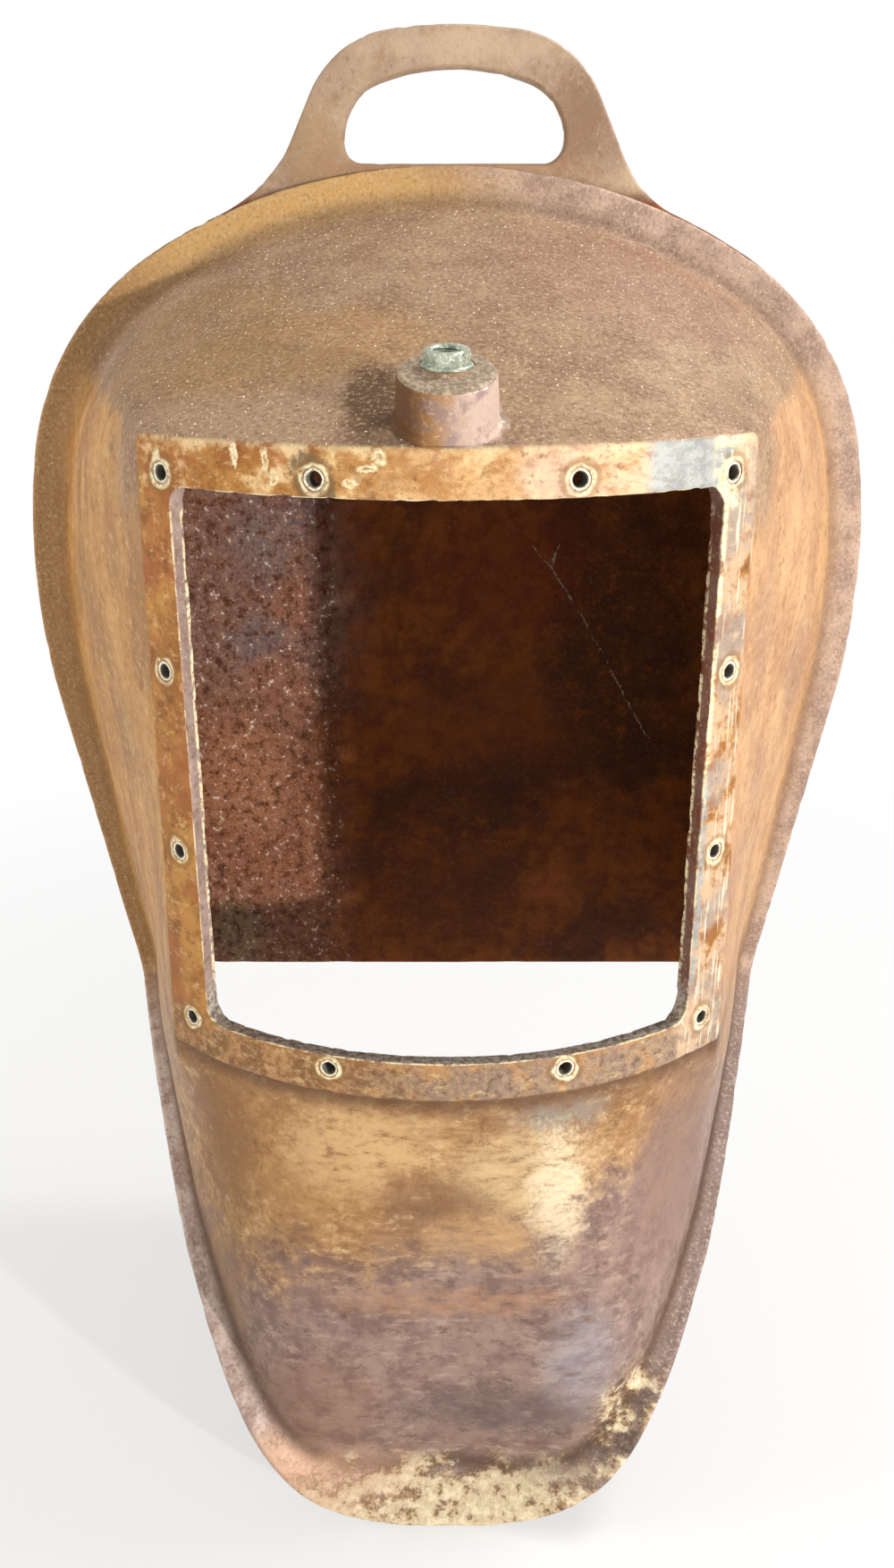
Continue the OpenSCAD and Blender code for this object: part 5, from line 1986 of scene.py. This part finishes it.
def rear_colours(b, screw_places):
    scuffs = b.noise(3.6, 7, 0.72, stretch=(0.4, 1, 1), shift=12)
    return b.coats(
        b.blend(b.cloud, 0.3, 0.7, "80603e", "a18262"),
        (b.blotch, 0.46, 0.68, 0.6, "6b5040"),
        (scuffs, 0.52, 0.64, 0.6, "c09c70"),
        (scuffs, 0.47, 0.36, 0.7, "54402e"),
        (b.clump, 0.56, 0.64, 0.5, "8b8f78"),
        (b.fine, 0.54, 0.66, 0.5, "c4a684"),
        (b.z + (b.blotch - 0.5) * 14, 14, 4, 0.6, "c29a62"),
        (b.nearest(screw_places) + (b.fine - 0.5) * 5, 12, 7, 0.75, "3f3226"),
    )


b = BackFinish()
is_handle = b.ramp(b.z + (b.blotch - 0.5) * 8, 352, 362)
is_rear = b.ramp(b.y, 3, 6) * (1 - is_handle)
screw_centres = [tuple(m.to_translation() / MM) for m in screw_matrices]
colour = b.tint(is_handle, plate_colours(b), handle_colours(b))
colour = b.tint(is_rear, colour, rear_colours(b, screw_centres))
roughness = (0.62 + (b.speck - 0.5) * 0.4 - b.lit_and_scaly * 0.22).clamped()
height = b.clump * 2.2 + b.fine * 0.5 + b.grain * 0.2 + b.pits(3.4, 0.2) * -0.4
height = height * (b.lit_and_scaly * 0.6 + 0.4 - is_rear * 0.25)
back_finish = b.done(colour, roughness, 0.25, height, depth=0.7, gloss=0.3)
print(back_finish.name, len(b.tree.nodes), "nodes")

# %% [markdown]
# ## Smaller finishes
# The small fittings share one recipe with other colours: a clean metal, a tarnish that clouds
# it, and deposits in the noise's peaks. A bush also carries a mark in its bore, which darkens
# the thread; on a piece without that mark nothing is darkened.


# %% Fittings, packing, wire and grit
def mark_bore(piece, radius):
    """1 inside the bore, so that its thread can be darker."""
    at = np.array([v.co for v in piece.data.vertices])
    set_attribute(piece, "bore", np.hypot(at[:, 0], at[:, 1]) < radius * MM)


def fitting(name, metal, tarnish, deposit, roughness, metallic, cover=0.6):
    """Metal and its deposits, which lie where the specks are above the cover."""
    f = Finish(name)
    cloud, speck = f.noise(4, 3, 0.6), f.noise(0.8, 3, 0.6)
    colour = f.blend(cloud, 0.35, 0.62, metal, tarnish)
    crust = f.ramp(speck, cover - 0.04, cover + 0.08)
    colour = f.tint(crust, colour, paint(deposit))
    colour = f.tint(f.share("bore") * 0.85, colour, paint("2a180c"))
    dull = (roughness + (cloud - 0.5) * 0.3 + crust * 0.3).clamped()
    shine = (metallic - crust * 0.6 - (cloud - 0.5) * 0.4).clamped()
    return f.done(colour, dull, shine, speck + crust * 0.5, depth=0.06)


mark_bore(one_bush, bore_r + 0.4)
bush_finish = fitting("pale bush", "e6dab4", "bfae86", "faf5e2", 0.5, 0.2, 0.44)
nut_finish = fitting("greenish silver brass", "bcc0ac", "8a9684", "e4e8d8", 0.32, 0.6, 0.58)
screw_finish = fitting("tarnished brass", "a8824a", "6e5430", "c8b48a", 0.42, 0.7)
valve_finish = fitting("turned brass", "bd9450", "94703c", "cbb88c", 0.35, 0.8, 0.66)
wire_finish = fitting("drawn wire", "9a9a94", "77756c", "b8a88c", 0.3, 0.9, 0.68)
packing_finish = fitting("wet leather packing", "2c2018", "1c1410", "4a3a2c", 0.7, 0.0)
grit_finish = fitting("pale grit", "e6dcc8", "cfc0a4", "f6f0e2", 0.8, 0.0, 0.5)
print("finishes so far:", len(bpy.data.materials))

# %% [markdown]
# ## Grit on the dome
# Pale grains lie scattered over the dome. About two thousand of them are placed at random with
# a fixed seed by Geometry Nodes, where the mesh says that it is dusty and faces up. They are a
# tenth to a third of a millimetre in radius.


# %% A tree that scatters grains
def grit_tree():
    tree, board, given = new_tree(
        "scattered grit",
        [
            ("Density", "Float"),
            ("Small", "Float"),
            ("Large", "Float"),
            ("Seed", "Int"),
            ("Finish", "Material"),
        ],
    )
    dusty = board.node(
        "GeometryNodeInputNamedAttribute", {"data_type": "FLOAT"}, {"Name": "dust"}
    )
    points = board.node(
        "GeometryNodeDistributePointsOnFaces",
        None,
        {
            "Mesh": given["Geometry"],
            "Density": given["Density"] * dusty,
            "Seed": given["Seed"],
        },
    )
    grain = board.node("GeometryNodeMeshIcoSphere", None, {"Radius": 1.0, "Subdivisions": 1})
    low = board.node("ShaderNodeCombineXYZ", None, {k: given["Small"] for k in range(3)})
    high = board.node(
        "ShaderNodeCombineXYZ",
        None,
        {0: given["Large"], 1: given["Large"], 2: given["Large"] * 1.8},
    )
    size = board.node(
        "FunctionNodeRandomValue", {"data_type": "FLOAT_VECTOR"}, {0: low, 1: high}
    )
    turn = board.node(
        "FunctionNodeRandomValue",
        {"data_type": "FLOAT_VECTOR"},
        {0: (0.0, 0.0, 0.0), 1: (3.1, 3.1, 3.1)},  # nearly half a turn, in radians
    )
    turn = board.node("FunctionNodeEulerToRotation", None, {0: turn})
    grains = board.node(
        "GeometryNodeInstanceOnPoints",
        None,
        {"Points": points, "Instance": grain, "Rotation": turn, "Scale": size},
    )
    close_tree(board, grains, given["Finish"])
    return tree


scatter_tree = grit_tree()
print("tree:", scatter_tree.name, "with", len(scatter_tree.nodes), "nodes")

# %% Where the boss is, and where grit can lie
BOSS_MARGIN, DUST_ON_BOSS = 1.6, 0.6


def attribute(target, name):
    return np.array([v.value for v in target.data.attributes[name].data])


skin_places = np.array([v.co for v in front.data.vertices])
skin_lean = np.array([v.normal for v in front.data.vertices])
to_boss = np.array(boss_place.inverted())
local = (skin_places @ to_boss[:3, :3].T + to_boss[:3, 3]) / MM
off_axis = np.hypot(local[:, 0], local[:, 1])
on_boss = (off_axis < boss_base + BOSS_MARGIN) & (local[:, 2] > -BOSS_H - 1) & (local[:, 2] < 1)
on_top = on_boss & (local[:, 2] > -1.2)
faces_up = smooth((skin_lean[:, 2] - 0.25) / 0.3)
bare_dome = attribute(front, "dome") * (1 - attribute(front, "flange"))
dust = np.where(on_boss, DUST_ON_BOSS, bare_dome) * (1 - attribute(front, "inside")) * faces_up
for name, values in (("boss", on_boss), ("up", on_top), ("dust", dust)):
    set_attribute(front, name, values)
grit = grown(
    "dome_grit",
    front.data,
    scatter_tree,
    {"Density": 42000.0, "Small": 0.0001, "Large": 0.00034, "Seed": 5, "Finish": grit_finish},
)
print("grit:", len(grit.data.polygons), "faces")

# %% [markdown]
# ## Copies, spring and slots
# The copies and the spring are grown by their trees here, and the two patterns that were
# copied are taken out of the scene. Then every piece gets its finish, rides on its body and
# replaces its node. The packing stays as it was packed, with a finish of its own.

# %% Grow the repeated pieces
bushes = grown(
    "window_bushes",
    turn_points(bush_matrices),
    copies_tree,
    {"Copy": one_bush, "Wear": 0.0005, "Grain": 0.0022, "Seed": 2.0, "Finish": bush_finish},
)
screws = grown(
    "rear_screws",
    turn_points(screw_matrices),
    copies_tree,
    {"Copy": one_screw, "Wear": 0.00006, "Grain": 0.003, "Seed": 5.0, "Finish": screw_finish},
)
spring = grown(
    "return_spring",
    bpy.data.meshes.new("spring_host"),
    coil_tree,
    {
        "Turns": SPRING_TURNS,
        "Radius": (SPRING_D - WIRE_D) / 2 * MM,
        "Height": (spring_high - spring_low) * MM,
        "Wire radius": WIRE_D / 2 * MM,
        "Finish": wire_finish,
    },
)
placed(spring, inlet @ Matrix.Translation((0, 0, spring_low * MM)))
for pattern in (one_bush, one_screw):
    bpy.data.objects.remove(pattern)
print("bushes", len(bushes.data.polygons), "screws", len(screws.data.polygons))

# %% Finishes, and what each piece replaces
packing = bpy.data.objects["flange_gasket"]
pieces = (
    (front, front_finish, "front_shell", "front_casting"),
    (back, back_finish, "back_plate", "back_casting"),
    (bushes, bush_finish, "window_screw_bushes", "window_bushes"),
    (screws, screw_finish, "flange_screws", "joint_screws"),
    (nut, nut_finish, "air_inlet_bush", "inlet_fitting"),
    (washer, nut_finish, "air_inlet_washer", "inlet_fitting"),
    (seat, valve_finish, "valve_seat", "valve_metal"),
    (disc, valve_finish, "valve_disc", "valve_metal"),
    (cage, valve_finish, "valve_cage", "valve_metal"),
    (spring, wire_finish, "valve_spring", "spring_wire"),
)
BOX_MARGIN = 2e-6
box_low, box_high = (np.array(corner) for corner in packed_box)
for piece, finish, node, slot_name in pieces:
    mesh = piece.data
    where = np.array([v.co for v in mesh.vertices])
    where = np.clip(where, box_low + BOX_MARGIN, box_high - BOX_MARGIN)
    mesh.vertices.foreach_set("co", where.astype(np.float32).ravel())
    mesh.update()
    mesh.materials.clear()
    mesh.materials.append(finish)
    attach(piece, "valve" if piece is disc else "helmet")
    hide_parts(node)
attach(grit, "helmet")
for material_slot in packing.material_slots:
    material_slot.material = packing_finish
spring_l = spring_high - spring_low + WIRE_D
(spring_l - VALVE_LIFT) / spring_l
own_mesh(spring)
print("pieces:", len(pieces) + 1, "and the packing is carried over")

# %% [markdown]
# ## Stage
# The helmet lies on a white studio floor. A small hard lamp stands low, to its right and in
# front, as in the photograph: the edge of its shadow on the plate fixes its direction. A soft
# lamp above and a warm one to the left open the shadows, and a dim white surround fills the
# rest. Floor and surround glow only for the camera, so that they read as white without
# lighting the helmet.


# %% Floor and surround
def plainly_seen(board):
    """1 for rays from the camera, from a gloss or through glass."""
    path = board.node("ShaderNodeLightPath").socket.node.outputs
    rays = [Wire(board, path[name]) for name in ("Is Camera Ray", "Is Glossy Ray")]
    return (rays[0] + rays[1] + Wire(board, path["Is Transmission Ray"])).clamped()


def stage_floor(level, half):
    """A square floor that takes the helmet's shadow and is pure white further off."""
    corners = [(x * half, y * half, level) for x, y in ((-1, -1), (1, -1), (1, 1), (-1, 1))]
    mesh = bpy.data.meshes.new("floor")
    mesh.from_pydata(corners, [], [(0, 1, 2, 3)])
    floor = bpy.data.objects.new("floor", mesh)
    bpy.context.scene.collection.objects.link(floor)
    material = bpy.data.materials.new("white floor")
    material.use_nodes = True
    board = Board(material.node_tree)
    board.tree.nodes.clear()
    matte = board.node("ShaderNodeBsdfDiffuse", None, {"Color": paint("f4f4f4")})
    glow = board.node("ShaderNodeEmission", None, {"Color": (1.0, 1.0, 1.0, 1.0)})
    place = board.node("ShaderNodeTexCoord", output="Object")
    away = board.vectors("LENGTH", place, output=1)
    far = board.node("ShaderNodeMapRange", None, {0: away, 1: 0.3, 2: 0.75, 3: 0.62, 4: 1.0})
    glowing = plainly_seen(board) * far
    seen = board.node("ShaderNodeMixShader", None, {0: glowing, 1: matte, 2: glow})
    leave = board.tree.nodes.new("ShaderNodeOutputMaterial")
    board.feed(leave.inputs["Surface"], seen)
    mesh.materials.append(material)


FLOOR_GAP, FLOOR_HALF = 0.0005, 4.0
stage_floor(packed_box[0][2] - FLOOR_GAP, FLOOR_HALF)
world = bpy.data.worlds.new("surround")
bpy.context.scene.world = world
world.use_nodes = True
sky = Board(world.node_tree)
sky.tree.nodes.clear()
WARM_WHITE, PURE_WHITE = (1.0, 0.985, 0.96, 1.0), (1.0, 1.0, 1.0, 1.0)
fill = sky.node("ShaderNodeBackground", None, {"Color": WARM_WHITE, "Strength": 0.38})
white = sky.node("ShaderNodeBackground", None, {"Color": PURE_WHITE, "Strength": 1.0})
shown = sky.node("ShaderNodeMixShader", None, {0: plainly_seen(sky), 1: fill, 2: white})
leave = sky.tree.nodes.new("ShaderNodeOutputWorld")
sky.feed(leave.inputs["Surface"], shown)
print("floor at", round(packed_box[0][2], 4), "m")


# %% Lamps and camera
AIM = (0, -0.1, 0.15)
CAMERA_PLACE, CAMERA_TILT = (0, -0.600, 0.334), 68.5
FOCAL_PX, PHOTO_H_PX, SENSOR_H = 1500, 1754, 36


def lamp(name, place, size, power, colour=(1, 1, 1)):
    """A round lamp aimed at the helmet, with places and sizes in metres and power in watts."""
    light = bpy.data.lights.new(name, "AREA")
    light.shape, light.size, light.energy, light.color = "DISK", size, power, colour
    holder = bpy.data.objects.new(name, light)
    holder.location = place
    holder.rotation_euler = (Vector(AIM) - Vector(place)).to_track_quat("-Z", "Y").to_euler()
    bpy.context.scene.collection.objects.link(holder)


lamp("key", (1.25, -1.5, 0.34), 0.07, 30, (1.0, 0.97, 0.92))
lamp("top", (0.8, 0.1, 1.4), 0.5, 14)
lamp("left", (-1.5, -0.35, 0.6), 0.6, 9, (1.0, 0.93, 0.82))
eye = bpy.data.cameras.new("photo camera")
eye.sensor_fit, eye.sensor_height = "VERTICAL", SENSOR_H
eye.lens = FOCAL_PX / PHOTO_H_PX * SENSOR_H
camera = bpy.data.objects.new("photo camera", eye)
camera.location = CAMERA_PLACE
camera.rotation_euler = (math.radians(CAMERA_TILT), 0, 0)
bpy.context.scene.collection.objects.link(camera)
bpy.context.scene.camera = camera
bpy.context.scene.view_settings.view_transform = "Standard"
print("camera", tuple(round(v, 3) for v in camera.location))
